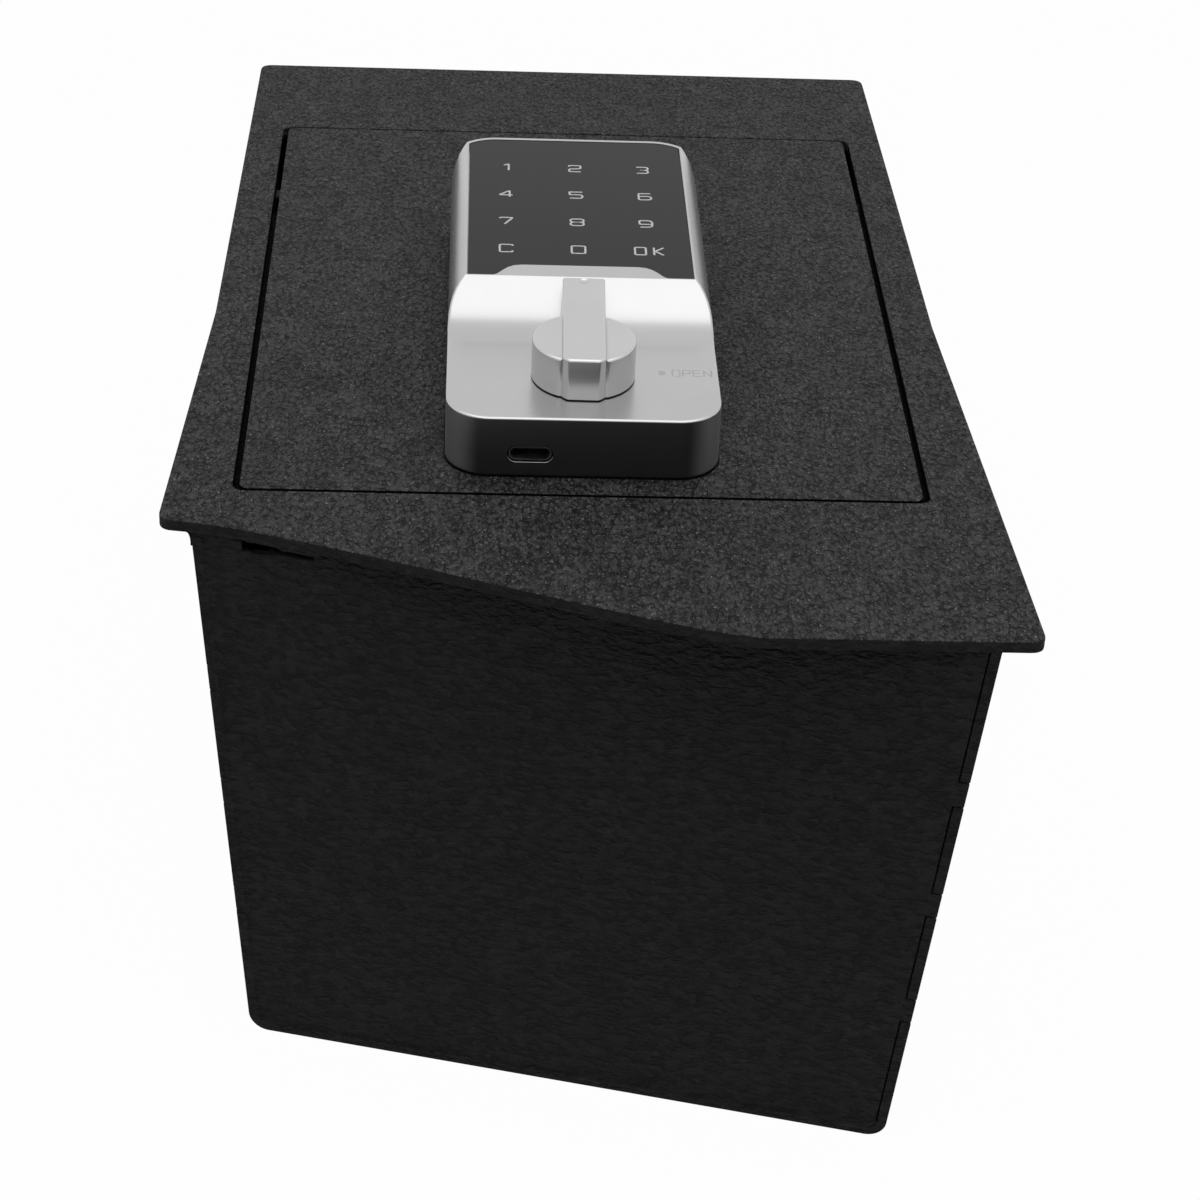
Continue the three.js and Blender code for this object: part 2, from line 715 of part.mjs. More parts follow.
function makeLockHousing() {
  const outer = plateZ(lockPlan(0), 0, lockHighHeight)
    .intersect(prismY(lockSection(0, lockHighHeight), lockFront, lockBack))
    .subtract(rampTool());
  const lowRoof = lockLowHeight - lockWall;
  const innerPlan = lockPlan(lockWall);
  const lowRoom = plateZ(innerPlan, -cutOverrun, lowRoof);
  const highRoom = plateZ(innerPlan, -cutOverrun, innerHigh)
    .intersect(prismY(lockSection(lockWall, innerHigh), rampTopY + lockWall, lockBack));
  let housing = outer.subtract(lowRoom.add(highRoom));
  for (const [x, y] of lockScrewPlaces) {
    housing = housing.add(cylinderZ(bossRadius * 2, 0, lowRoof + lockWall / 2, x, y).intersect(outer));
  }
  for (const [x, y] of lockScrewPlaces) {
    const bore = screwDiameter + 2 * meshGap;
    housing = housing.subtract(cylinderZ(bore, -cutOverrun, screwLength, x, y));
  }
  housing = housing.subtract(plateZ(panelShape(panelPlay), panelUnder, lockHighHeight + cutOverrun));
  const window = roundedRectangle(
    -panelHalf + panelLedge, panelHalf - panelLedge,
    rampTopY + panelNotchDepth + panelLedge, panelBackY - panelLedge, windowCornerRadius,
  );
  housing = housing.subtract(plateZ(window, innerHigh - cutOverrun, lockHighHeight));
  housing = housing.subtract(prismY(usbSlot(meshGap), lockFront - cutOverrun, lockFront + cutOverrun));
  return housing.subtract(cylinderZ(spindleDiameter + 2 * meshGap, 0, lockHighHeight, 0, knobY));
}

function makeKeypadBoard() {
  const half = panelHalf - boardMargin;
  const y0 = rampTopY + panelNotchDepth;
  const shape = roundedRectangle(-half, half, y0, panelBackY - boardMargin, boardCornerRadius);
  const top = innerHigh - meshGap;
  return plateZ(shape, top - boardThickness, top);
}

// The socket's mouth: a slot with round ends, drawn in X and Z
function usbSlot(grow) {
  const half = usbWidth / 2 + grow;
  const rise = usbHeight / 2 + grow;
  return roundedRectangle(
    usbCenterX - half, usbCenterX + half, usbCenterZ - rise, usbCenterZ + rise, rise - usbFlat / 2,
  );
}

function makeUsbShell() {
  const y0 = lockFront + usbSink;
  const outer = prismY(usbSlot(0), y0, y0 + usbDepth);
  return outer.subtract(prismY(usbSlot(-usbWall), y0 - cutOverrun, y0 + usbDepth - usbWall));
}

function makeUsbTongue() {
  const back = lockFront + usbSink + usbDepth - usbWall;
  return box(
    usbCenterX - tongueWidth / 2, usbCenterX + tongueWidth / 2, back - tongueLength, back,
    usbCenterZ - tongueThickness / 2, usbCenterZ + tongueThickness / 2,
  );
}

// Battery case places
const caseTop = doorUnder;
const batteryTop = caseTop - caseWall - batteryPlay / 2;
const batteryZ = batteryTop - batteryDiameter / 2;
const caseUnder = batteryZ - batteryDiameter / 2 - batteryPlay - coverThickness;
const coverTop = caseUnder + coverThickness;
const contactInner = batteryLength / 2 + meshGap;
const contactOuter = contactInner + contactThickness;
const caseInnerHalf = contactOuter + contactClearance;
const caseHalf = caseInnerHalf + caseWall;
const caseFront = connectorY - connectorDepth / 2 - connectorFrontRoom - caseWall;
const caseBack = backScrewY + bossRadius + caseEndRoom;

function makeBatteryCase() {
  let shell = box(-caseHalf, caseHalf, caseFront, caseBack, caseUnder, caseTop);
  const room = box(
    -caseInnerHalf, caseInnerHalf, caseFront + caseWall, caseBack - caseWall,
    caseUnder - cutOverrun, caseTop - caseWall,
  );
  shell = shell.subtract(room);
  shell = shell.add(
    box(-bossRadius, bossRadius, backScrewY - bossRadius, caseBack - caseWall, coverTop + meshGap, caseTop),
  );
  const pilot = coverScrewDiameter + 2 * meshGap;
  shell = shell.subtract(
    cylinderZ(pilot, coverTop - cutOverrun, caseTop - caseWall, 0, backScrewY),
  );
  for (const x of [-backScrewX, backScrewX]) {
    const bore = screwDiameter + 2 * meshGap;
    shell = shell.subtract(cylinderZ(bore, caseTop - cutOverrun, cutOverrun, x, backScrewY));
  }
  return shell.subtract(connectorPocket(caseTop - cutOverrun, cutOverrun));
}

function makeBatteryCover() {
  const inset = meshGap;
  const plate = box(
    -caseInnerHalf + inset, caseInnerHalf - inset, caseFront + caseWall + inset, caseBack - caseWall - inset,
    caseUnder, coverTop,
  );
  const bore = coverScrewDiameter + 2 * meshGap;
  return plate.subtract(cylinderZ(bore, caseUnder - cutOverrun, coverTop + cutOverrun, 0, backScrewY));
}

function makeCoverScrew() {
  const headTop = caseUnder - meshGap;
  const headUnder = headTop - coverScrewHeadHeight;
  const shank = cylinderZ(coverScrewDiameter, headUnder, coverTop + coverThickness * 3);
  return cylinderZ(coverScrewHead, headUnder, headTop).add(shank);
}

function makeContact(side) {
  const y0 = firstBatteryY - batteryDiameter / 2;
  const y1 = firstBatteryY + (batteryCount - 1) * batteryPitch + batteryDiameter / 2;
  const plate = box(
    contactInner, contactOuter, y0, y1, batteryZ - batteryDiameter / 2, batteryTop,
  );
  return side < 0 ? mirrorX(plate) : plate;
}

// A battery lies along X, nub to the right, centred on its own origin
function makeBattery() {
  const half = batteryLength / 2;
  const bodyEnd = half - batteryNubLength;
  const can = cylinderX(batteryDiameter, -half, bodyEnd, 0, 0);
  return can.add(cylinderX(batteryNubDiameter, bodyEnd - batteryNubLength, half, 0, 0));
}

// A pan-head screw that points up, with the top of its head at its own origin
function makeLockScrew() {
  const head = cylinderZ(screwHeadDiameter, -screwHeadHeight, 0);
  return head.add(cylinderZ(screwDiameter, -screwHeadHeight, screwLength - meshGap));
}

function makeConnector() {
  const z0 = caseTop - caseWall - meshGap;
  return box(
    -connectorWidth / 2, connectorWidth / 2,
    connectorY - connectorDepth / 2, connectorY + connectorDepth / 2, z0, z0 + connectorHeight,
  );
}

// Spindle stack: heights along the knob's own axis
const knobUnder = lockLowHeight + knobLift;
const knobTop = knobUnder + knobHeight;
const gripTop = knobTop + gripRise;
const camTop = underFlange - lipThickness - camLipGap;
const camUnder = camTop - camThickness;
const washerTop = camUnder - meshGap;
const nutTop = washerTop - washerThickness - meshGap;
const bushTop = lockLowHeight - lockWall - meshGap;

function makeKnob() {
  const disk = cylinderZ(knobRadius * 2, knobUnder, knobTop);
  const half = gripWidth / 2;
  const plan = roundedShape([
    [-half, -gripFrontReach, gripEdge],
    [half, -gripFrontReach, gripEdge],
    [half, gripBackReach, gripEdge],
    [-half, gripBackReach, gripEdge],
  ]);
  const side = new THREE.Shape();
  side.moveTo(-gripFrontReach - gripEdge, knobUnder);
  side.lineTo(knobRadius, knobUnder);
  side.lineTo(gripBackReach + gripEdge, gripTop - gripTipThickness);
  side.lineTo(gripBackReach + gripEdge, gripTop);
  side.lineTo(-gripFrontReach - gripEdge, gripTop);
  side.closePath();
  const grip = plateZ(plan, knobUnder, gripTop).intersect(prismX(side, -gripWidth, gripWidth));
  const socket = cylinderZ(
    spindleDiameter + 2 * meshGap, knobUnder - cutOverrun, knobUnder + spindleInKnob + meshGap,
  );
  return disk.add(grip).subtract(socket);
}

function makeSpindle() {
  const shaft = cylinderZ(spindleDiameter, camTop + meshGap, knobUnder + spindleInKnob);
  const half = spindleSquare / 2;
  const flats = box(-half, half, -half, half, camUnder - meshGap, camTop + cutOverrun);
  const square = flats.intersect(cylinderZ(spindleDiameter, camUnder - meshGap, camTop + meshGap));
  const thread = cylinderZ(threadDiameter, nutTop - camNutHeight - threadTail, camUnder);
  return shaft.add(square).add(thread);
}

function makeBush() {
  const bore = cylinderZ(spindleDiameter + 2 * meshGap, camTop - cutOverrun, bushTop + cutOverrun);
  const sleeve = cylinderZ(bushDiameter, doorUnder - bushNutHeight, bushTop);
  const flange = cylinderZ(bushFlangeDiameter, 0, bushFlangeHeight);
  return sleeve.add(flange).subtract(bore);
}

function makeBushNut() {
  const nut = hexZ(bushNutAcrossFlats, doorUnder - bushNutHeight, doorUnder);
  return nut.subtract(cylinderZ(bushDiameter + 2 * meshGap, camTop - cutOverrun, cutOverrun));
}

function makeLatchCam() {
  const half = camWidth / 2;
  const tip = camTipWidth / 2;
  const plan = roundedShape([
    [-half, half, camHeelRadius],
    [-half, -camReach / 2, 0],
    [-tip, -camReach, camTipRadius],
    [tip, -camReach, camTipRadius],
    [half, -camReach / 2, 0],
    [half, half, camHeelRadius],
  ]);
  const hole = spindleSquare / 2 + meshGap;
  return plateZ(plan, camUnder, camTop).subtract(
    box(-hole, hole, -hole, hole, camUnder - cutOverrun, camTop + cutOverrun),
  );
}

function makeWasher() {
  const bore = cylinderZ(threadDiameter + 2 * meshGap, washerTop - cutOverrun, washerTop + cutOverrun);
  return cylinderZ(washerDiameter, washerTop - washerThickness, washerTop).subtract(bore);
}

function makeCamNut() {
  const bore = cylinderZ(
    threadDiameter + 2 * meshGap, nutTop - camNutHeight - cutOverrun, nutTop + cutOverrun,
  );
  return hexZ(camNutAcrossFlats, nutTop - camNutHeight, nutTop).subtract(bore);
}

function makeMotor() {
  const y0 = knobY - motorLength / 2;
  return cylinderY(motorDiameter, y0, y0 + motorLength, motorOffsetX, motorDiameter / 2 + meshGap);
}

// Assembly
const safeBody = new THREE.Group();
safeBody.add(part('top_flange', makeTopFlange(), linerCoat()));
safeBody.add(part('body_shell', makeBodyShell(), linerCoat()));
safeBody.add(part('front_wall', makeFrontWall(), linerCoat()));
safeBody.add(part('back_wall', makeBackWall(), linerCoat()));
safeBody.add(part('latch_lip', makeLatchLip(), linerCoat()));
for (const [side, word] of [[-1, 'left'], [1, 'right']]) {
  safeBody.add(part(`rest_rail_${word}`, makeRestRail(side), linerCoat()));
  safeBody.add(part(`hinge_bracket_${word}`, makeHingeBracket(side), linerCoat()));
}

const door = new THREE.Group();
door.add(part('door_plate', makeDoorPlate(), linerCoat()));
for (const [side, word] of [[-1, 'left'], [1, 'right']]) {
  door.add(part(`hinge_lug_${word}`, makeHingeLug(side), linerCoat()));
  door.add(part(`hinge_pin_${word}`, makeHingePin(side), blackSteel()));
  door.add(part(`battery_contact_${word}`, makeContact(side), zincSteel()));
}
door.add(part('lock_housing', makeLockHousing(), satinSilver()));
door.add(part('keypad_panel', plateZ(panelShape(0), panelUnder, panelTop), darkPanel()));
door.add(part('keypad_board', makeKeypadBoard(), greenBoard()));
door.add(part('usb_shell', makeUsbShell(), zincSteel()));
door.add(part('usb_tongue', makeUsbTongue(), blackPlastic()));
door.add(part('lock_motor', makeMotor(), zincSteel()));
door.add(part('link_connector', makeConnector(), blackPlastic()));
door.add(part('battery_case', makeBatteryCase(), blackPlastic()));
door.add(part('battery_cover', makeBatteryCover(), blackPlastic()));

const coverScrew = part('cover_screw', makeCoverScrew(), zincSteel());
coverScrew.position.set(0, backScrewY, 0);
door.add(coverScrew);

lockScrewPlaces.forEach(([x, y], i) => {
  const screw = part(`lock_screw_${i + 1}`, makeLockScrew(), zincSteel());
  const seat = i < 2 ? doorUnder : caseTop - caseWall;
  screw.position.set(x, y, seat - meshGap);
  door.add(screw);
});

for (let i = 0; i < batteryCount; i += 1) {
  const battery = part(`battery_${i + 1}`, makeBattery(), batteryWrap());
  battery.position.set(0, firstBatteryY + i * batteryPitch, batteryZ);
  battery.rotation.z = i % 2 === 0 ? 0 : Math.PI;
  door.add(battery);
}

const spindleAxis = new THREE.Group();
spindleAxis.position.set(0, knobY, 0);
spindleAxis.add(part('spindle_bush', makeBush(), brass()));
spindleAxis.add(part('bush_nut', makeBushNut(), zincSteel()));

const latch = new THREE.Group();
latch.rotation.z = -knobRestTurn * degrees;
latch.add(part('knob', makeKnob(), satinSilver()));
latch.add(part('spindle', makeSpindle(), zincSteel()));
latch.add(part('latch_cam', makeLatchCam(), zincSteel()));
latch.add(part('cam_washer', makeWasher(), zincSteel()));
latch.add(part('cam_nut', makeCamNut(), zincSteel()));
spindleAxis.add(latch);
door.add(spindleAxis);

const safe = new THREE.Group();
safe.add(safeBody, door);
safe.position.set(
  -(flangeLeftX + flangeRightX) / 2,
  -(flangeBackY + Math.min(flangeRightY, flangeLeftY)) / 2,
  bodyHeight,
);

export default safe;
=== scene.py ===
# %% [markdown]
# # A console safe, dressed for its picture
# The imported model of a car's console safe is a set of plain solids, which the joints move.
# This lesson gives it its looks: soft edges, a pebbled black coating, a satin silver lock
# with a gloss keypad, and the screws, welds and marks that a plain solid leaves out.
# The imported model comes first, because every new piece is placed against it.

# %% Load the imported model
import json
import math

import bmesh
import bpy
from mathutils import Matrix, Vector


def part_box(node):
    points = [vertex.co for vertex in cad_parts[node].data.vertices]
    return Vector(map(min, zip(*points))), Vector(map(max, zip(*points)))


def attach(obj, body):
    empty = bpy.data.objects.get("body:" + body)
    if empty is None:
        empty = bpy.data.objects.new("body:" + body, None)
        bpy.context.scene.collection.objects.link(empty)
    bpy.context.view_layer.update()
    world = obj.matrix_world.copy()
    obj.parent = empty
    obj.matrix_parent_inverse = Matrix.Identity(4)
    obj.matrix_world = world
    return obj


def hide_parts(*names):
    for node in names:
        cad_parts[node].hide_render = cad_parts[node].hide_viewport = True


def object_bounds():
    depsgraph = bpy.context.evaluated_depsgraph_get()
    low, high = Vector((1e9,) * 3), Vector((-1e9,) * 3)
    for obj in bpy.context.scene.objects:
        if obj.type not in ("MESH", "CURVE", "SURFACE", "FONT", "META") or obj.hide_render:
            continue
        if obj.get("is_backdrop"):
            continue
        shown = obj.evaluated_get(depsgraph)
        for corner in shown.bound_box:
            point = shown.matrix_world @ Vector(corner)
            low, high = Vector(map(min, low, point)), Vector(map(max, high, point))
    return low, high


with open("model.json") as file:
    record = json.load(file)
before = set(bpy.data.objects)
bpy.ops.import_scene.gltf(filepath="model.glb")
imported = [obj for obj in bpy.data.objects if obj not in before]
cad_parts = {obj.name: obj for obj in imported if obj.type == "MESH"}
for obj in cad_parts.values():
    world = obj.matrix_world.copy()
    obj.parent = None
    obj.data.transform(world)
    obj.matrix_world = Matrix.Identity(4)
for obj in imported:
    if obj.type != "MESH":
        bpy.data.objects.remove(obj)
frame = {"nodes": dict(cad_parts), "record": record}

MM = 0.001
nodes = frame["nodes"]
cad_low, cad_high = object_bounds()
print("CAD box in mm:", [round(side / MM, 1) for side in cad_high - cad_low])

# %% [markdown]
# ## Where things are
# The safe was drawn from the middle of the door's top face, so that is the handiest place
# to measure from here as well. `spot` turns millimetres from there into the scene's metres,
# and `corners` reads a node's box back in those millimetres. The boxes give the rest: the
# lock's front face, the keypad's height and, from the spindle, the knob's axis.

# %% Places to measure from
door_low, door_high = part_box("door_plate")
door_middle = (door_low + door_high) / 2
door_top = Vector((door_middle.x, door_middle.y, door_high.z))


def spot(x, y, z):
    """A place given in millimetres from the middle of the door's top face."""
    return door_top + Vector((x, y, z)) * MM


def corners(node):
    """A node's lowest and highest corner, in millimetres from the door's top face."""
    low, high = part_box(node)
    return (low - door_top) / MM, (high - door_top) / MM


lock_low, lock_high = corners("lock_housing")
panel_low, panel_high = corners("keypad_panel")
knob_low, knob_high = corners("knob")
spindle_low, spindle_high = corners("spindle")
KNOB_X = (spindle_low.x + spindle_high.x) / 2
KNOB_Y = (spindle_low.y + spindle_high.y) / 2
print("lock", [round(v, 2) for v in (*lock_low, *lock_high)])
print("panel", [round(v, 2) for v in (*panel_low, *panel_high)])
print("knob axis", round(KNOB_X, 2), round(KNOB_Y, 2), "from", round(knob_low.z, 2))

# %% [markdown]
# ## The camera
# The camera was fitted to the straight edges of the door, the flange and the lock. It stands
# 64 cm in front of the door's middle, 32 cm above it and a little to its left, and it looks
# 32.6 degrees down and 3 degrees to the right, rolled by under three degrees. A long lens
# keeps the box's sides nearly parallel. The three angles are put together here from a
# direction of sight, because that reads better than a matrix.

# %% Set up the camera
CAMERA_PLACE = (-24.666, -635.428, 323.119)
CAMERA_LENS = 91.839
CAMERA_SENSOR = 36.0
LOOK_DOWN = math.radians(32.5956)
LOOK_RIGHT = math.radians(3.0614)
ROLL = math.radians(-2.6882)

forward = Vector((
    math.sin(LOOK_RIGHT) * math.cos(LOOK_DOWN),
    math.cos(LOOK_RIGHT) * math.cos(LOOK_DOWN),
    -math.sin(LOOK_DOWN),
))
level = Vector((math.cos(LOOK_RIGHT), -math.sin(LOOK_RIGHT), 0))
down = forward.cross(level)
across = level * math.cos(ROLL) + down * math.sin(ROLL)
upright = level * math.sin(ROLL) - down * math.cos(ROLL)

camera_data = bpy.data.cameras.new("photo_camera")
camera_data.lens = CAMERA_LENS
camera_data.sensor_width = CAMERA_SENSOR
camera_data.clip_start = 0.01
camera_data.clip_end = 20
camera = bpy.data.objects.new("photo_camera", camera_data)
bpy.context.scene.collection.objects.link(camera)
camera.matrix_world = Matrix.Translation(spot(*CAMERA_PLACE)) @ Matrix((
    across, upright, -forward,
)).transposed().to_4x4()
bpy.context.scene.camera = camera
print("camera at", [round(v, 3) for v in camera.location])

# %% [markdown]
# ## Light and backdrop
# The photo is a shop picture: the safe on pure white, lit by one wide soft box overhead in a
# dark room. The silver ramp mirrors that box and is nearly white, while the front wall gets
# little of it and stays almost black. So the light comes from one place: a broad lamp that
# reaches from a little behind the safe to well in front of it. It is made of two lamps of the
# same size, because a reflection shows a lamp on top of the white behind it: one is seen in
# metal, and the other only lights. Together they give a strength where a colour renders
# about as it is written. White comes from Light Path: rays from the camera, and rays that
# metal or gloss sends out, meet white, while the rays that light the safe meet a dim world
# and a pale floor, which keeps its shadow.

# %% Set up the world
scene = bpy.context.scene
scene.view_settings.view_transform = "Standard"

WHITE = (1, 1, 1, 1)
WORLD_LIGHT = 0.10
world = bpy.data.worlds.new("studio")
world.use_nodes = True
scene.world = world


def add(tree, kind, settings=None, **inputs):
    """Adds a node, with its settings and with plain values on its sockets."""
    made = tree.nodes.new(kind)
    for key, value in (settings or {}).items():
        setattr(made, key, value)
    for key, value in inputs.items():
        made.inputs[key.replace("_", " ")].default_value = value
    return made


def math_node(tree, operation, first, second):
    """A Math node; each operand is a number or another node's output."""
    made = add(tree, "ShaderNodeMath", {"operation": operation})
    for socket, value in zip(made.inputs, (first, second)):
        if isinstance(value, (int, float)):
            socket.default_value = value
        else:
            tree.links.new(value, socket)
    return made.outputs[0]


def seen_directly(tree):
    """1 for rays from the camera and for rays out of gloss or glass, 0 for light."""
    path = add(tree, "ShaderNodeLightPath")
    plain = math_node(tree, "MAXIMUM", path.outputs["Is Camera Ray"], path.outputs["Is Glossy Ray"])
    return math_node(tree, "MAXIMUM", plain, path.outputs["Is Transmission Ray"])


def mix_shaders(tree, share, first, second, output):
    """Mixes two shaders, from the first at a share of 0 to the second at 1, into an output."""
    mixed = add(tree, "ShaderNodeMixShader")
    tree.links.new(share, mixed.inputs[0])
    tree.links.new(first.outputs[0], mixed.inputs[1])
    tree.links.new(second.outputs[0], mixed.inputs[2])
    tree.links.new(mixed.outputs[0], add(tree, output).inputs[0])


sky = world.node_tree
sky.nodes.clear()
sky_light = add(sky, "ShaderNodeBackground", Color=WHITE, Strength=WORLD_LIGHT)
sky_white = add(sky, "ShaderNodeBackground", Color=WHITE, Strength=1.0)
mix_shaders(sky, seen_directly(sky), sky_light, sky_white, "ShaderNodeOutputWorld")
print("world light", WORLD_LIGHT)

# %% Hang the two lamps
LAMP_WIDTH = 2.0
LAMP_DEPTH = 1.8
LAMP_HEIGHT = 1.25
LAMPS = [
    # name, place in front of the safe in metres, watts, seen in reflections
    ("soft_box", -0.60, 11.2, True),
    ("soft_box_fill", -0.45, 10.0, False),
]
for name, place_y, watts, mirrored in LAMPS:
    lamp_data = bpy.data.lights.new(name, "AREA")
    lamp_data.shape = "RECTANGLE"
    lamp_data.size = LAMP_WIDTH
    lamp_data.size_y = LAMP_DEPTH
    lamp_data.energy = watts
    lamp = bpy.data.objects.new(name, lamp_data)
    lamp.visible_glossy = mirrored
    scene.collection.objects.link(lamp)
    lamp.location = (0, place_y, LAMP_HEIGHT)
    print("lamp", name, watts, "W, facing down")

# %% [markdown]
# ## Helpers for work by hand
# `trace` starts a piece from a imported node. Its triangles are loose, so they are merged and
# its flat faces made whole, which a bevel needs.

# %% Select and shape
MERGE = 0.002 * MM
FLAT = math.radians(0.4)
SMOOTH = math.radians(52)
SHARP = math.radians(35)
NORMAL_WEIGHT = 60


def take(piece):
    """Makes one piece the only selected and the active one."""
    bpy.ops.object.select_all(action="DESELECT")
    piece.select_set(True)
    bpy.context.view_layer.objects.active = piece


def edit_all(piece):
    """Opens one piece in edit mode with all of it selected."""
    take(piece)
    bpy.ops.object.mode_set(mode="EDIT")
    bpy.ops.mesh.select_mode(type="VERT")
    bpy.ops.mesh.select_all(action="SELECT")


def trim(place, direction):
    """In edit mode: cuts off what lies beyond a plane, and closes the cut."""
    bpy.ops.mesh.bisect(
        plane_co=place, plane_no=direction, use_fill=True, clear_inner=False, clear_outer=True,
    )


def added(name):
    """Names the shape that was just added, and puts its place into its mesh."""
    piece = bpy.context.active_object
    piece.name = name
    piece.data.name = name
    take(piece)
    bpy.ops.object.transform_apply(location=True, rotation=True, scale=True)
    return piece


def block(name, low, high):
    """A cube primitive between two corners, in millimetres from the door's top face."""
    a, b = spot(*low), spot(*high)
    bpy.ops.mesh.primitive_cube_add(size=1, location=(a + b) / 2, scale=b - a)
    return added(name)


def upright_round(name, radius, low, high, x, y, sides):
    """A cylinder primitive that stands at x, y between two heights."""
    bpy.ops.mesh.primitive_cylinder_add(
        vertices=sides, radius=radius * MM, depth=(high - low) * MM,
        location=spot(x, y, (low + high) / 2),
    )
    return added(name)


def pick_edges(piece, wanted):
    """In edit mode: selects only the edges for which wanted is true, and counts them."""
    bpy.ops.mesh.select_mode(type="EDGE")
    bpy.ops.mesh.select_all(action="DESELECT")
    mesh = bmesh.from_edit_mesh(piece.data)
    found = [edge for edge in mesh.edges if wanted(edge)]
    for edge in found:
        edge.select_set(True)
    mesh.select_flush_mode()
    bmesh.update_edit_mesh(piece.data)
    return len(found)


def middle_of(edge):
    """An edge's middle, in millimetres from the middle of the door's top face."""
    return ((edge.verts[0].co + edge.verts[1].co) / 2 - door_top) / MM


def rise_of(edge):
    """How much higher one end of an edge is than the other, in millimetres."""
    return abs(edge.verts[0].co.z - edge.verts[1].co.z) / MM


def turn_of(edge):
    """How far the surface turns over an edge, in degrees; negative in a hollow corner."""
    return math.degrees(edge.calc_face_angle_signed(0))


def near(value, target, slack=0.02):
    """Whether two measures are the same, within a little slack."""
    return abs(value - target) < slack


def round_edges(piece, width, wanted, segments=3, clamp=True, profile=0.5):
    """Bevels the edges of one piece for which wanted is true, by width millimetres."""
    take(piece)
    bpy.ops.object.mode_set(mode="EDIT")
    count = pick_edges(piece, wanted)
    if count:
        bpy.ops.mesh.bevel(
            offset=width * MM, segments=segments, affect="EDGES", clamp_overlap=clamp, profile=profile,
        )
    bpy.ops.object.mode_set(mode="OBJECT")
    return count


def apply_modifier(piece, kind, **settings):
    """Adds a modifier with its settings and applies it."""
    take(piece)
    modifier = piece.modifiers.new(kind.lower(), kind)
    for key, value in settings.items():
        setattr(modifier, key, value)
    bpy.ops.object.modifier_apply(modifier=modifier.name)


def cut(piece, tool, operation="DIFFERENCE"):
    """Cuts one piece with another, or joins them, and clears the tool away."""
    apply_modifier(piece, "BOOLEAN", object=tool, operation=operation, solver="EXACT")
    bpy.data.objects.remove(tool)


def smooth(piece, sharper_than=SMOOTH):
    """Smooth shading that leaves flat faces flat and real corners sharp."""
    take(piece)
    bpy.ops.object.shade_smooth_by_angle(angle=sharper_than)
    apply_modifier(piece, "WEIGHTED_NORMAL", keep_sharp=True, weight=NORMAL_WEIGHT)


def round_all(piece, width, segments=3):
    """Rounds every real corner of a piece by width millimetres and shades it smooth."""
    apply_modifier(
        piece, "BEVEL", width=width * MM, segments=segments, limit_method="ANGLE",
        angle_limit=SHARP, use_clamp_overlap=True,
    )
    smooth(piece)


def trace(node, name):
    """A piece in a CAD node's shape: its triangles are merged and its flat faces made whole."""
    piece = bpy.data.objects.new(name, nodes[node].data.copy())
    piece.data.name = name
    piece.data.materials.clear()
    scene.collection.objects.link(piece)
    take(piece)
    if piece.data.has_custom_normals:
        bpy.ops.mesh.customdata_custom_splitnormals_clear()
    edit_all(piece)
    bpy.ops.mesh.remove_doubles(threshold=MERGE)
    bpy.ops.mesh.dissolve_limited(angle_limit=FLAT)
    bpy.ops.object.mode_set(mode="OBJECT")
    return piece


print("helpers ready")

# %% [markdown]
# ## How a finish is built
# A finish could be a photo of a surface, but noise that is worked out in the shader stays
# sharp close up and needs no file. Every finish here starts from plain values and gets its
# grain from noise. All of them read Object coordinates, so that a pattern runs from piece to
# piece and moves with the door.

# %% Make the parts of a finish
VALUE_ENDS = ("From Min", "From Max", "To Min", "To Max")
NOISE_MIDDLE = (0.5, 0.5, 0.5)


def base_material(name, colour, roughness, metallic=0.0, specular=0.5, ior=1.5):
    """A material with plain values on its shader."""
    material = bpy.data.materials.new(name)
    material.use_nodes = True
    tree = material.node_tree
    shader = tree.nodes["Principled BSDF"]
    shader.inputs["Base Color"].default_value = (*colour, 1)
    shader.inputs["Roughness"].default_value = roughness
    shader.inputs["Metallic"].default_value = metallic
    shader.inputs["Specular IOR Level"].default_value = specular
    shader.inputs["IOR"].default_value = ior
    return material, tree, shader


def object_place(tree, stretch=(1, 1, 1)):
    """The place on the object, in metres, stretched where a pattern has a direction."""
    coordinates = add(tree, "ShaderNodeTexCoord")
    mapping = add(tree, "ShaderNodeMapping", Scale=stretch)
    tree.links.new(coordinates.outputs["Object"], mapping.inputs["Vector"])
    return mapping.outputs["Vector"]


def noise(tree, place, scale, detail=2.0, roughness=0.5):
    """Soft random values from 0 to 1, with scale waves to the metre."""
    made = add(tree, "ShaderNodeTexNoise", Scale=scale, Detail=detail, Roughness=roughness)
    tree.links.new(place, made.inputs["Vector"])
    return made.outputs["Fac"]


def remap(tree, value, low, high, to_low=0.0, to_high=1.0):
    """Stretches a value's range from low..high to to_low..to_high, with soft ends."""
    made = add(tree, "ShaderNodeMapRange", {"interpolation_type": "SMOOTHSTEP"})
    tree.links.new(value, made.inputs["Value"])
    for key, number in zip(VALUE_ENDS, (low, high, to_low, to_high)):
        made.inputs[key].default_value = number
    return made.outputs["Result"]


def blend(tree, amount, first, second):
    """A colour between two, by amount. Each of them is a grey, a colour or a node's output."""
    made = add(tree, "ShaderNodeMix", {"data_type": "RGBA"})
    if isinstance(amount, float):
        made.inputs["Factor"].default_value = amount
    else:
        tree.links.new(amount, made.inputs["Factor"])
    for socket, value in ((made.inputs[6], first), (made.inputs[7], second)):
        if isinstance(value, bpy.types.NodeSocket):
            tree.links.new(value, socket)
        elif isinstance(value, tuple):
            socket.default_value = (*value, 1)
        else:
            socket.default_value = (value, value, value, 1)
    return made.outputs[2]


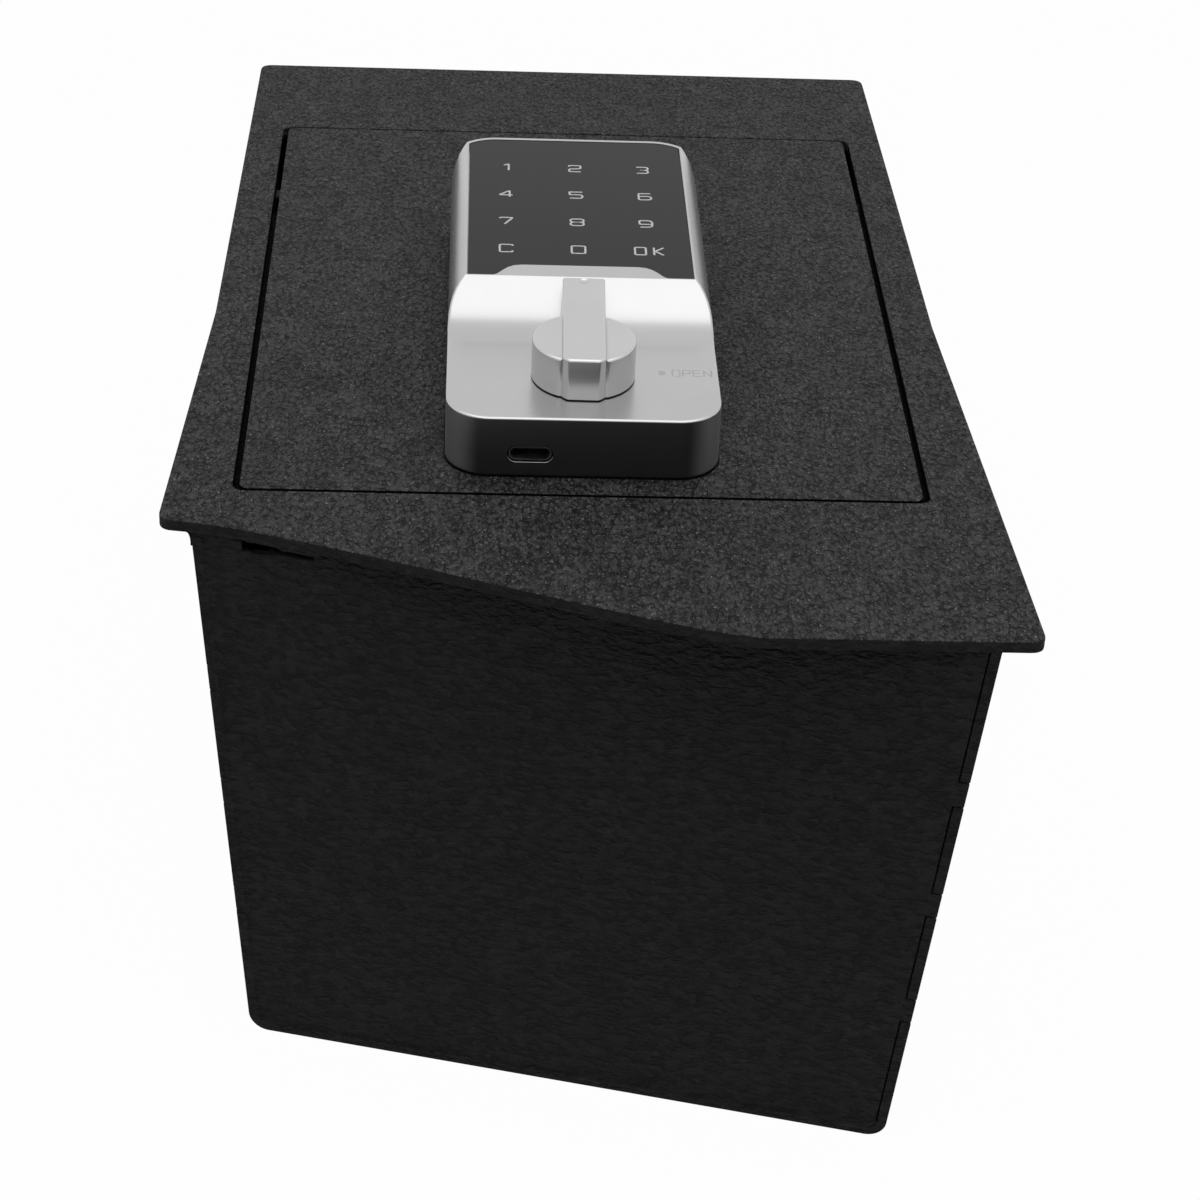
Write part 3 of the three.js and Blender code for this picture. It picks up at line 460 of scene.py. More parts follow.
def weighted_sum(tree, parts):
    """Adds values up, each times its own weight."""
    total = None
    for value, weight in parts:
        share = math_node(tree, "MULTIPLY", value, weight)
        total = math_node(tree, "ADD", total, share) if total else share
    return total


def bump(tree, shader, height, distance):
    """Feeds a height into the shader's normal; distance is in metres."""
    made = add(tree, "ShaderNodeBump", Strength=1.0, Distance=distance)
    tree.links.new(height, made.inputs["Height"])
    tree.links.new(made.outputs["Normal"], shader.inputs["Normal"])


def feed(tree, shader, **values):
    """Links values to the shader's sockets of those names."""
    for key, value in values.items():
        tree.links.new(value, shader.inputs[key.replace("_", " ")])


def warped(tree, place, scale, reach):
    """The place, pushed about by noise, so that cells lose their straight borders."""
    push = add(tree, "ShaderNodeTexNoise", Scale=scale, Detail=2.0, Roughness=0.5)
    tree.links.new(place, push.inputs["Vector"])
    centred = add(tree, "ShaderNodeVectorMath", {"operation": "SUBTRACT"})
    tree.links.new(push.outputs["Color"], centred.inputs[0])
    centred.inputs[1].default_value = NOISE_MIDDLE
    scaled = add(tree, "ShaderNodeVectorMath", {"operation": "SCALE"})
    tree.links.new(centred.outputs[0], scaled.inputs[0])
    scaled.inputs["Scale"].default_value = reach
    moved = add(tree, "ShaderNodeVectorMath", {"operation": "ADD"})
    tree.links.new(place, moved.inputs[0])
    tree.links.new(scaled.outputs[0], moved.inputs[1])
    return moved.outputs[0]


print("parts of a finish ready")

# %% [markdown]
# ## The pebbled coating
# The whole box is sprayed with a thick bed-liner coat. On the flat top it dried as a skin of low pebbles
# of about a millimetre, with short creases between them and fine grains. On the walls it ran a little,
# so the pebbles are drawn out sideways. One recipe makes three copies of the coat: the top's, the walls'
# darker and fainter one, and the gaps' nearly black one. The darker copies are painted shade. Noise
# gives the lumps and the grains. The borders of cells, bent by noise and wiped out in patches, give the
# creases. All of it goes into the bump and, because a bump's hollows get as much light as its tops, into
# the colour too, as painted shade in the hollows and creases and painted glints on the grains.

# %% Make the coating
CELL_SCALE = 640
WIDE_WARP = (340, 1.9 * MM)
FINE_WARP = (1150, 0.8 * MM)
PATCH_SCALE = 620
LUMP_SCALE = 760
GRAIN_SCALE = 1750
SWELL_SCALE = 150
GRAIN_HEIGHT = 0.5
LUMP_HEIGHT = 1.2
SWELL_HEIGHT = 0.9
SKIN_HEIGHT = 0.55
SWELL_TONE = 0.35


def make_coating(name, hollow, lump, shine, stretch, glint, depth, crease, crease_width):
    """Thick sprayed coat; hollow, lump, glint and crease are tones, depth is in millimetres. The hollow
    and crease tones are painted shade, the lump tone is the lit tone and the glint tone is a painted
    highlight.
    """
    material, tree, shader = base_material(name, (lump,) * 3, 0.6, specular=shine)
    place = object_place(tree, stretch)
    bent = warped(tree, warped(tree, place, *WIDE_WARP), *FINE_WARP)
    borders = add(tree, "ShaderNodeTexVoronoi", {"feature": "DISTANCE_TO_EDGE"}, Scale=CELL_SCALE)
    tree.links.new(bent, borders.inputs["Vector"])
    off_crease = remap(tree, borders.outputs["Distance"], 0.0, crease_width)
    patches = remap(tree, noise(tree, place, PATCH_SCALE), 0.42, 0.62, 0.85, 0.0)
    skin = math_node(tree, "MAXIMUM", off_crease, patches)
    grains = noise(tree, place, GRAIN_SCALE, 2.0, 0.6)
    lumps = noise(tree, bent, LUMP_SCALE, 3.0, 0.62)
    swell = noise(tree, place, SWELL_SCALE)
    height = weighted_sum(tree, (
        (grains, GRAIN_HEIGHT), (lumps, LUMP_HEIGHT), (swell, SWELL_HEIGHT), (skin, SKIN_HEIGHT),
    ))
    bump(tree, shader, height, depth * MM)
    # Painted shade: the hollows between the lumps are darker than their tops.
    by_lump = blend(tree, remap(tree, lumps, 0.36, 0.66), hollow, lump)
    by_swell = blend(tree, remap(tree, swell, 0.3, 0.7), hollow, lump)
    tone = blend(tree, SWELL_TONE, by_lump, by_swell)
    # Painted highlights on the grains, then painted shade in the creases.
    tone = blend(tree, remap(tree, grains, 0.60, 0.72), tone, glint)
    tone = blend(tree, skin, crease, tone)
    feed(tree, shader, Base_Color=tone, Roughness=remap(tree, grains, 0.3, 0.7, 0.5, 0.7))
    return material


# The top's copy is the lit one, with the brightest tones and painted glints.
coat = make_coating(
    "liner_coat", hollow=0.008, lump=0.075, shine=0.13, stretch=(1.34, 0.85, 1.34),
    glint=0.24, depth=1.1, crease=0.0015, crease_width=0.19,
)
# The walls' copy is darker and fainter than the top's: painted shade on faces that get less light.
shaded_wall_coat = make_coating(
    "liner_coat_walls_painted_shade", hollow=0.016, lump=0.030, shine=0.06, stretch=(0.46, 0.46, 1.0),
    glint=0.034, depth=1.4, crease=0.014, crease_width=0.34,
)
# The gaps' copy is nearly black: painted shade where little light gets in.
shaded_gap_coat = make_coating(
    "liner_coat_gaps_painted_shade", hollow=0.002, lump=0.006, shine=0.02, stretch=(1, 1, 1),
    glint=0.008, depth=0.3, crease=0.001, crease_width=0.3,
)
print("coating made with", len(coat.node_tree.nodes), "nodes")

# %% [markdown]
# ## Silver and the keypad's black
# The lock is a zinc casting under satin silver lacquer: metal with a soft shine, and so even that only a
# very fine sparkle and a faint cloudiness show. Its front face mirrors the dark room in the photo, and
# only its two corners mirror the soft box. The white backdrop here would wash that out, so the front has
# a silver with that reflection painted into its colour: a painted dark reflection in the middle and
# painted highlights at the two corners. The keypad is a gloss black sheet, and the print on it is a pale
# ink.

# %% Make the lock's finishes
SPARKLE_SCALE = 3800
FRONT_PAINTED_DARK_REFLECTION = 0.10
FRONT_PAINTED_HIGHLIGHT = 0.62
HIGHLIGHT_FROM, HIGHLIGHT_TO = 21.5 * MM, 27.0 * MM


def make_silver(name, tone):
    """Satin silver lacquer on a casting."""
    material, tree, shader = base_material(name, (tone,) * 3, 0.25, metallic=1.0)
    place = object_place(tree)
    cloud = noise(tree, place, 45, 3.0)
    flake = noise(tree, place, SPARKLE_SCALE, 2.0, 0.6)
    feed(
        tree, shader, Base_Color=blend(tree, cloud, tone * 0.94, tone * 1.06),
        Roughness=remap(tree, flake, 0.2, 0.8, 0.245, 0.275),
    )
    bump(tree, shader, flake, 0.002 * MM)
    return material


def make_front_painted_reflection():
    """The lock's front face with a painted reflection: painted dark in the middle and painted light
    toward its two corners.
    """
    material, tree, shader = base_material("front_painted_reflection", (0.3, 0.3, 0.3), 0.3, metallic=1.0)
    place = object_place(tree)
    split = add(tree, "ShaderNodeSeparateXYZ")
    tree.links.new(place, split.inputs[0])
    sideways = math_node(tree, "SUBTRACT", split.outputs["X"], door_top.x)
    off_middle = math_node(tree, "ABSOLUTE", sideways, 0.0)
    # How far toward a corner: the share of painted highlight over the painted dark reflection.
    corner = remap(tree, off_middle, HIGHLIGHT_FROM, HIGHLIGHT_TO)
    flake = noise(tree, place, SPARKLE_SCALE, 2.0, 0.6)
    feed(
        tree, shader, Base_Color=blend(tree, corner, FRONT_PAINTED_DARK_REFLECTION, FRONT_PAINTED_HIGHLIGHT),
        Roughness=remap(tree, flake, 0.2, 0.8, 0.29, 0.33),
    )
    return material


def make_panel():
    """Gloss black sheet of the keypad, with faint wipe marks."""
    material, tree, shader = base_material("panel_black", (0.008, 0.008, 0.008), 0.12, ior=1.22)
    wipes = noise(tree, object_place(tree, (1, 2.5, 1)), 60, 4.0, 0.6)
    feed(
        tree, shader, Base_Color=blend(tree, wipes, 0.007, 0.009),
        Roughness=remap(tree, wipes, 0.35, 0.75, 0.10, 0.19),
    )
    return material


def make_print(name, low, high):
    """Printed ink in one grey, slightly uneven."""
    material, tree, shader = base_material(name, (high,) * 3, 0.5)
    patches = noise(tree, object_place(tree), 900)
    feed(tree, shader, Base_Color=blend(tree, patches, low, high))
    return material


# %% [markdown]
# ## Steel, brass, plastic and the rest
# Inside are zinc-plated and blackened steel, turned brass, a circuit board, moulded plastic
# and the cells' printed film. Each gets a grain at its own scale, in its roughness and bump.

# %% Make the other finishes


def make_zinc():
    """Zinc-plated steel: slightly cloudy, with fine rolling marks."""
    material, tree, shader = base_material("zinc_steel", (0.55, 0.56, 0.57), 0.35, metallic=1.0)
    cloud = noise(tree, object_place(tree), 160, 4.0)
    marks = noise(tree, object_place(tree, (1, 9, 9)), 900)
    feed(
        tree, shader, Base_Color=blend(tree, cloud, (0.46, 0.47, 0.49), (0.62, 0.62, 0.61)),
        Roughness=remap(tree, marks, 0.3, 0.7, 0.28, 0.45),
    )
    bump(tree, shader, marks, 0.01 * MM)
    return material


def make_painted_shade_nickel():
    """The socket's shell: dull nickel, painted dark all over as painted shade inside the narrow mouth.
    """
    material, tree, shader = base_material("painted_shade_nickel", (0.10, 0.10, 0.10), 0.5, metallic=1.0)
    cloud = noise(tree, object_place(tree), 500)
    feed(
        tree, shader, Base_Color=blend(tree, cloud, 0.05, 0.09),
        Roughness=remap(tree, cloud, 0.3, 0.7, 0.42, 0.6),
    )
    return material


def make_black_steel():
    """Black oxide on steel: a dark, slightly oily sheen."""
    material, tree, shader = base_material("black_steel", (0.03, 0.03, 0.032), 0.4, metallic=1.0)
    cloud = noise(tree, object_place(tree), 240, 3.0)
    feed(
        tree, shader, Base_Color=blend(tree, cloud, 0.024, 0.038),
        Roughness=remap(tree, cloud, 0.3, 0.7, 0.34, 0.5),
    )
    bump(tree, shader, cloud, 0.01 * MM)
    return material


def make_plastic():
    """Moulded black plastic with a spark-eroded grain."""
    material, tree, shader = base_material("black_plastic", (0.02, 0.02, 0.02), 0.5)
    place = object_place(tree)
    grain = noise(tree, place, 1600)
    cloud = noise(tree, place, 90)
    feed(
        tree, shader, Base_Color=blend(tree, cloud, 0.016, 0.024),
        Roughness=remap(tree, grain, 0.3, 0.7, 0.42, 0.6),
    )
    bump(tree, shader, grain, 0.03 * MM)
    return material


def make_board():
    """Green solder mask over a weave that shows through a little."""
    material, tree, shader = base_material("board_green", (0.02, 0.12, 0.05), 0.35)
    weave = add(tree, "ShaderNodeTexChecker", Scale=2200)
    tree.links.new(object_place(tree), weave.inputs["Vector"])
    tint = blend(tree, weave.outputs["Fac"], (0.016, 0.105, 0.042), (0.024, 0.135, 0.058))
    feed(tree, shader, Base_Color=tint)
    bump(tree, shader, weave.outputs["Fac"], 0.01 * MM)
    return material


def make_brass():
    """Turned brass: fine rings round the knob's axis."""
    material, tree, shader = base_material("bush_brass", (0.45, 0.30, 0.08), 0.3, metallic=1.0)
    rings = noise(tree, object_place(tree, (1, 1, 14)), 420)
    feed(tree, shader, Roughness=remap(tree, rings, 0.3, 0.7, 0.22, 0.4))
    bump(tree, shader, rings, 0.015 * MM)
    return material


def make_wrap():
    """The blue film round a cell."""
    material, tree, shader = base_material("cell_wrap", (0.05, 0.16, 0.35), 0.32)
    cloud = noise(tree, object_place(tree), 70)
    feed(tree, shader, Base_Color=blend(tree, cloud, (0.045, 0.145, 0.32), (0.055, 0.175, 0.38)))
    bump(tree, shader, cloud, 0.05 * MM)
    return material


FINISHES = {
    "liner_coat": coat,
    "satin_silver": make_silver("satin_silver", 0.475),
    "panel_black": make_panel(),
    "zinc_steel": make_zinc(),
    "black_steel": make_black_steel(),
    "black_plastic": make_plastic(),
    "board_green": make_board(),
    "bush_brass": make_brass(),
    "cell_wrap": make_wrap(),
}
front_painted_reflection = make_front_painted_reflection()
painted_shade_nickel = make_painted_shade_nickel()
knob_silver = make_silver("knob_silver", 0.53)
key_print = make_print("key_print", 0.54, 0.66)
mark_print = make_print("mark_print", 0.41, 0.45)
print("finishes:", ", ".join(FINISHES))

# %% [markdown]
# ## The floor
# The safe stands on a plain pale floor. To the camera and to the silver it is white, mixed
# with a little of its real, lit surface, so that the shadow under the safe still shows.

# %% Lay the floor
FLOOR_SIZE = 8.0
FLOOR_DROP = 0.05 * MM
FLOOR_GLOW = 0.98
FLOOR_COLOUR = (0.6, 0.6, 0.6, 1)
bpy.ops.object.select_all(action="DESELECT")
bpy.ops.mesh.primitive_plane_add(size=FLOOR_SIZE, location=(0, 0, cad_low.z - FLOOR_DROP))
floor = added("floor")
floor_paint = bpy.data.materials.new("floor_paint")
floor_paint.use_nodes = True
paint_tree = floor_paint.node_tree
paint_tree.nodes.clear()
pale = add(paint_tree, "ShaderNodeBsdfDiffuse", Color=FLOOR_COLOUR)
glow = add(paint_tree, "ShaderNodeEmission", Color=WHITE, Strength=1.0)
glow_share = math_node(paint_tree, "MULTIPLY", seen_directly(paint_tree), FLOOR_GLOW)
mix_shaders(paint_tree, glow_share, pale, glow, "ShaderNodeOutputMaterial")
floor.data.materials.append(floor_paint)
floor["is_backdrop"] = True
print("floor at", round(floor.data.vertices[0].co.z / MM, 3), "mm")

# %% [markdown]
# ## Handing a piece over
# A finished piece gets its material and the body that it moves with, and the imported nodes that it
# stands for are hidden. The material is the one made for the finish that the record names for it, unless
# the piece has one of its own. Those lines are the same for every piece, so one helper says them. The
# record also tells each node's body and finish.

# %% Hand a finished piece over
SLOT_OF = {row["node"]: row["material_slot"] for row in frame["record"]["subparts"]}
BODY_OF = {}
for body, members in frame["record"]["behaviour"]["bodies"].items():
    for member in members:
        BODY_OF[member] = body


def place_piece(piece, body, stands_for=(), finish=None, material=None):
    """Gives a piece its material, from its finish unless one is given, and its body, and hides the nodes
    it stands for.
    """
    piece.data.materials.clear()
    piece.data.materials.append(material or FINISHES[finish])
    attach(piece, body)
    if stands_for:
        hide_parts(*stands_for)


# %% [markdown]
# ## Sheet steel, machined parts and mouldings
# Most pieces have the right shape already, but no real edge is knife-sharp. Each is traced from its
# node, its flat faces are made whole, and its edges get a small round: wide where the thick coat rounds
# them off, narrow on steel, hair-fine on the circuit board. One table does this, because each piece
# differs only in its body, its finish and the width. The walls, the latch lip and the outer edges of the
# flange get the walls' darker coat. The edges on both sides of the door's gap and the rails below it get
# the gaps' nearly black coat. Both are painted shade.

# %% Round the edges of the plain parts
EDGE_ROUND = {
    "top_flange": 0.45, "body_shell": 0.45, "front_wall": 0.45, "back_wall": 0.45, "latch_lip": 0.6,
    "rest_rail_left": 0.5, "rest_rail_right": 0.5, "hinge_bracket_left": 0.4, "hinge_bracket_right": 0.4,
    "door_plate": 0.45, "hinge_lug_left": 0.4, "hinge_lug_right": 0.4,
    "hinge_pin_left": 0.3, "hinge_pin_right": 0.3,
    "keypad_panel": 0.1, "keypad_board": 0.08, "usb_shell": 0.06, "usb_tongue": 0.1, "lock_motor": 0.5,
    "link_connector": 0.3, "battery_case": 0.5, "battery_cover": 0.4,
    "battery_contact_left": 0.1, "battery_contact_right": 0.1,
    "spindle_bush": 0.3, "bush_nut": 0.3, "spindle": 0.3,
    "latch_cam": 0.4, "cam_washer": 0.15, "cam_nut": 0.3,
}
# The walls' coat and the gaps' coat here are darker copies of the coat: painted shade.
OWN_FINISH = {
    "body_shell": shaded_wall_coat, "front_wall": shaded_wall_coat, "back_wall": shaded_wall_coat, "latch_lip": shaded_wall_coat,
    "rest_rail_left": shaded_gap_coat, "rest_rail_right": shaded_gap_coat, "usb_shell": painted_shade_nickel,
}
OPENING_X, OPENING_Y = 73.0, 92.0
BACK_GAP_Y = 87.0
LYING = 0.3


def paint_edge_shade(piece):
    """Gives a plate's edge faces painted shade: the gaps' nearly black coat inside the opening, the
    walls' darker coat outside.
    """
    piece.data.materials.append(shaded_gap_coat)
    piece.data.materials.append(shaded_wall_coat)
    for face in piece.data.polygons:
        place = (face.center - door_top) / MM
        if abs(face.normal.z) > LYING or place.y > BACK_GAP_Y:
            continue
        inside = abs(place.x) < OPENING_X and place.y > -OPENING_Y
        face.material_index = 1 if inside else 2


for node, width in EDGE_ROUND.items():
    piece = trace(node, node + "_piece")
    round_all(piece, width)
    place_piece(piece, BODY_OF[node], [node], SLOT_OF[node], OWN_FINISH.get(node))
    if node in ("top_flange", "door_plate"):
        paint_edge_shade(piece)
    print(piece.name, len(piece.data.polygons), "faces")

# %% [markdown]
# ## The lock housing
# The casting is the face of the safe: a low deck with the knob, a hollow ramp, and the raised keypad end
# with drawn-in shoulders. The tracing keeps those curves. Its edges need rounds of four widths, so each
# kind is found by its place and its angle: the deck's rim and the sides of the ramp are soft, the crease
# at the top of the ramp is crisp, and the thin rim round the keypad and the mouth of the socket are
# barely broken. The faces at the front get the silver with the painted reflection.

# %% Shape the lock housing
DECK_Z = 14.0
CREASE_Y = -34.45
RIM_ROUND = 0.55
CREASE_ROUND = 0.22
PANEL_RIM_ROUND = 0.12
MOUTH_ROUND = 0.14
BORE_REACH = 7
MOUTH_LEFT, MOUTH_RIGHT = -17, -5.5
MOUTH_LOW, MOUTH_HIGH = 3, 8
HOUSING_SMOOTH = math.radians(27)
housing = trace("lock_housing", "lock_housing_piece")


def on_deck_rim(edge):
    """Edges round the low deck and up the sides of the ramp, without the knob's bore."""
    place = middle_of(edge)
    off_axis = math.hypot(place.x - KNOB_X, place.y - KNOB_Y)
    along_crease = place.y > CREASE_Y - 0.2
    return turn_of(edge) > 50 and place.z > DECK_Z - 0.1 and off_axis > BORE_REACH and not along_crease


def on_crease(edge):
    """The edge where the ramp meets the raised end."""
    place = middle_of(edge)
    return turn_of(edge) > 40 and near(place.y, CREASE_Y, 0.15) and place.z > lock_high.z - 0.3


def on_panel_rim(edge):
    """The upper edge of the pocket that holds the keypad."""
    place = middle_of(edge)
    return turn_of(edge) > 60 and place.y > CREASE_Y + 0.3 and place.z > lock_high.z - 0.1


def on_usb_mouth(edge):
    """The edge of the opening in the front face."""
    place = middle_of(edge)
    inside = MOUTH_LEFT < place.x < MOUTH_RIGHT and MOUTH_LOW < place.z < MOUTH_HIGH
    return turn_of(edge) > 60 and inside and near(place.y, lock_low.y, 0.05)


print("deck rim:", round_edges(housing, RIM_ROUND, on_deck_rim, 4, clamp=False))
print("crease:", round_edges(housing, CREASE_ROUND, on_crease))
print("panel rim:", round_edges(housing, PANEL_RIM_ROUND, on_panel_rim, segments=2))
print("socket mouth:", round_edges(housing, MOUTH_ROUND, on_usb_mouth))
smooth(housing, HOUSING_SMOOTH)
place_piece(housing, "door", ["lock_housing"], "satin_silver")

# %% Give the front faces their silver with the painted reflection
FRONT_DEPTH = 9.0
FRONT_TOP = DECK_Z - 0.4
housing.data.materials.append(front_painted_reflection)
for face in housing.data.polygons:
    place = (face.center - door_top) / MM
    faces_front = face.normal.y < -0.15 and abs(face.normal.z) < 0.2
    if faces_front and place.y < lock_low.y + FRONT_DEPTH and place.z < FRONT_TOP:
        face.material_index = 1
print("front faces:", sum(face.material_index for face in housing.data.polygons))

# %% [markdown]
# ## The painted shadow at the lock's foot
# A thin dark line runs round the foot of the lock in the photo, where its shadow falls. A thin sheet
# under the lock, like a black foam pad, paints that line as a painted shadow with the gaps' nearly black
# coat. It has the lock's own outline, so it is traced from the casting, cut off low and made a hair
# larger.

# %% Lay the sheet that paints the shadow at the lock's foot
GASKET_HEIGHT = 0.5
GASKET_REACH = 0.22
shadow_gasket = trace("lock_housing", "lock_shadow_gasket")
lock_middle = (lock_low + lock_high) / 2
lock_size = lock_high - lock_low
edit_all(shadow_gasket)
trim(spot(0, 0, GASKET_HEIGHT), (0, 0, 1))
bpy.ops.mesh.select_all(action="SELECT")
bpy.ops.transform.resize(
    value=(1 + 2 * GASKET_REACH / lock_size.x, 1 + 2 * GASKET_REACH / lock_size.y, 1),
    center_override=spot(lock_middle.x, lock_middle.y, 0),
)
bpy.ops.object.mode_set(mode="OBJECT")
smooth(shadow_gasket)
# The sheet takes the gaps' nearly black coat: a painted shadow.
place_piece(shadow_gasket, "door", finish="black_plastic", material=shaded_gap_coat)
print("gasket:", len(shadow_gasket.data.polygons), "faces")

# %% [markdown]
# ## The knob's disk
# The knob is a turned disk with a long bar across it. The disk is a cylinder with a soft
# upper edge. A thin groove runs along both sides of the bar, over the disk and down its
# front, where its sides are rounded off. The grooves are cut out with thin blocks, because
# a boolean leaves the rest of the disk as it is.

# %% Shape the knob's disk
DISK_RADIUS = 11.0
DISK_SIDES = 96
BAR_HALF = 4.6
BAR_RISE = 0.6
TOP_ROUND = 0.6
GROOVE = 0.3
GROOVE_ROUND = 0.45
PAST = 1
disk_top = knob_high.z - BAR_RISE
groove_end = GROOVE - math.sqrt(DISK_RADIUS ** 2 - BAR_HALF ** 2)


def knob_spot(x, y, z):
    """A place given from the knob's own axis, before the knob is turned."""
    return KNOB_X + x, KNOB_Y + y, z


def on_disk_top(edge):
    """The disk's upper edge."""
    return turn_of(edge) > 60 and near(middle_of(edge).z, disk_top)


def is_groove_side(edge):
    """The upright edges where the disk's side turns into the grooves."""
    place = middle_of(edge)
    at_groove = near(abs(place.x - KNOB_X), BAR_HALF + GROOVE) and place.y < KNOB_Y - 9
    return rise_of(edge) > 2 and turn_of(edge) > 30 and at_groove


knob = upright_round("knob_piece", DISK_RADIUS, knob_low.z, disk_top, KNOB_X, KNOB_Y, DISK_SIDES)
round_edges(knob, TOP_ROUND, on_disk_top)
for bar_side in (-BAR_HALF, BAR_HALF):
    left, right = bar_side - GROOVE, bar_side + GROOVE
    cut(knob, block(
        "groove_top", knob_spot(left, -DISK_RADIUS - PAST, disk_top - GROOVE),
        knob_spot(right, DISK_RADIUS + PAST, disk_top + PAST),
    ))
    cut(knob, block(
        "groove_front", knob_spot(left, -DISK_RADIUS - PAST, knob_low.z - PAST),
        knob_spot(right, groove_end, disk_top + PAST),
    ))
print("groove sides:", round_edges(knob, GROOVE_ROUND, is_groove_side, clamp=False))

# %% [markdown]
# ## The knob's bar
# The bar is a block. Its two upright corners at the front are cut off and those at the far end barely
# rounded, its underside slopes up past the disk, and its upper edges are broken, so that they catch a
# bright line of light. The spindle's bore goes in from below, and a shallow dimple near the far end
# shows which way the knob points. The knob stands turned by a degree, as in the photo.

# %% Shape the knob's bar
KNOB_TURN = math.radians(-1.1)
BAR_FRONT = -11.2
BAR_BACK = 26.8
BAR_TIP = 4.55
FRONT_CHAMFER = 1.3
CHAMFER_ROUND = 0.3
BACK_ROUND = 0.45
BORE_RADIUS = 4.3
BORE_DEPTH = 5.3
BORE_SIDES = 40
DIMPLE_RADIUS = 2.2
DIMPLE_DEPTH = 0.38
DIMPLE_FROM_END = 1.75


def at_front(edge):
    """The bar's upright corners at the front."""
    return rise_of(edge) > 2 and middle_of(edge).y < KNOB_Y


def at_far_end(edge):
    """The bar's upright corners at the far end."""
    return rise_of(edge) > 2 and middle_of(edge).y > KNOB_Y + 20


def is_chamfer_edge(edge):
    """The upright edges on both sides of the front chamfers."""
    return at_front(edge) and 30 < turn_of(edge) < 60


def on_bar_top(edge):
    """The edges round the bar's top face."""
    return turn_of(edge) > 40 and near(middle_of(edge).z, knob_high.z)


bar = block(
    "knob_bar", knob_spot(-BAR_HALF, BAR_FRONT, knob_low.z),
    knob_spot(BAR_HALF, BAR_BACK, knob_high.z),
)
round_edges(bar, FRONT_CHAMFER, at_front, 1)
round_edges(bar, BACK_ROUND, at_far_end, 2)
edit_all(bar)
under_slope = Vector((0, knob_high.z - BAR_TIP - knob_low.z, DISK_RADIUS - BAR_BACK)).normalized()
trim(spot(*knob_spot(0, DISK_RADIUS, knob_low.z)), under_slope)
bpy.ops.object.mode_set(mode="OBJECT")
print("chamfers:", round_edges(bar, CHAMFER_ROUND, is_chamfer_edge, 2))
print("bar top:", round_edges(bar, TOP_ROUND, on_bar_top, 4))
cut(knob, bar, "UNION")
bore_end = knob_low.z + BORE_DEPTH
cut(knob, upright_round(
    "knob_bore", BORE_RADIUS, knob_low.z - PAST, bore_end, KNOB_X, KNOB_Y, BORE_SIDES,
))
bpy.ops.mesh.primitive_uv_sphere_add(
    segments=64, ring_count=48, radius=DIMPLE_RADIUS * MM,
    location=spot(*knob_spot(0, BAR_BACK - DIMPLE_FROM_END, knob_high.z + DIMPLE_RADIUS - DIMPLE_DEPTH)),
)
cut(knob, added("knob_dimple"))
edit_all(knob)
bpy.ops.transform.rotate(value=-KNOB_TURN, orient_axis="Z", center_override=spot(KNOB_X, KNOB_Y, 0))
bpy.ops.object.mode_set(mode="OBJECT")
smooth(knob)
place_piece(knob, "latch", ["knob"], "satin_silver", knob_silver)
across_knob = [(vertex.co.x - door_top.x) / MM for vertex in knob.data.vertices]
print("knob node, from x to x:", round(knob_low.x, 2), round(knob_high.x, 2))
print("knob piece:", round(min(across_knob), 2), round(max(across_knob), 2))

# %% [markdown]
# ## Lines as meshes
# Letters and weld beads are both lines with a thickness. Such a line could be swept along by
# hand, but a curve that is given a thickness and made a mesh follows every bend by itself.

# %% Draw lines
def line_mesh(name, lines, thickness, rings):
    """Lines with a round section, as one mesh.

    A line is a list of points and whether it closes. A point is a place in metres and its
    share of the thickness, which is in millimetres."""
    drawing = bpy.data.curves.new(name, "CURVE")
    drawing.dimensions = "3D"
    drawing.bevel_depth = thickness * MM
    drawing.bevel_resolution = rings
    drawing.use_fill_caps = True
    for points, closed in lines:
        spline = drawing.splines.new("POLY")
        spline.points.add(len(points) - 1)
        for target, (place, share) in zip(spline.points, points):
            target.co = (*place, 1)
            target.radius = share
        spline.use_cyclic_u = closed
    made = bpy.data.objects.new(name, drawing)
    scene.collection.objects.link(made)
    take(made)
    bpy.ops.object.convert(target="MESH")
    return bpy.context.active_object


def join(pieces, name):
    """Joins pieces into the first of them, under a new name."""
    take(pieces[0])
    for piece in pieces[1:]:
        piece.select_set(True)
    bpy.ops.object.join()
    joined = bpy.context.active_object
    joined.name = name
    joined.data.name = name
    return joined


print("line helpers ready")

# %% [markdown]
# ## The marks on the keypad
# The legends are the plain digits 0 to 9, C and OK in a squared stroke letter, printed in
# pale ink. Each is drawn as one or two open strokes on a unit square, made into a thin
# round line, flattened, and laid on the panel. Drawing strokes gives the even line of a
# technical letter, which a text object would not. The corners are small arcs, wider in the
# round digits and tight at the left of the 5.

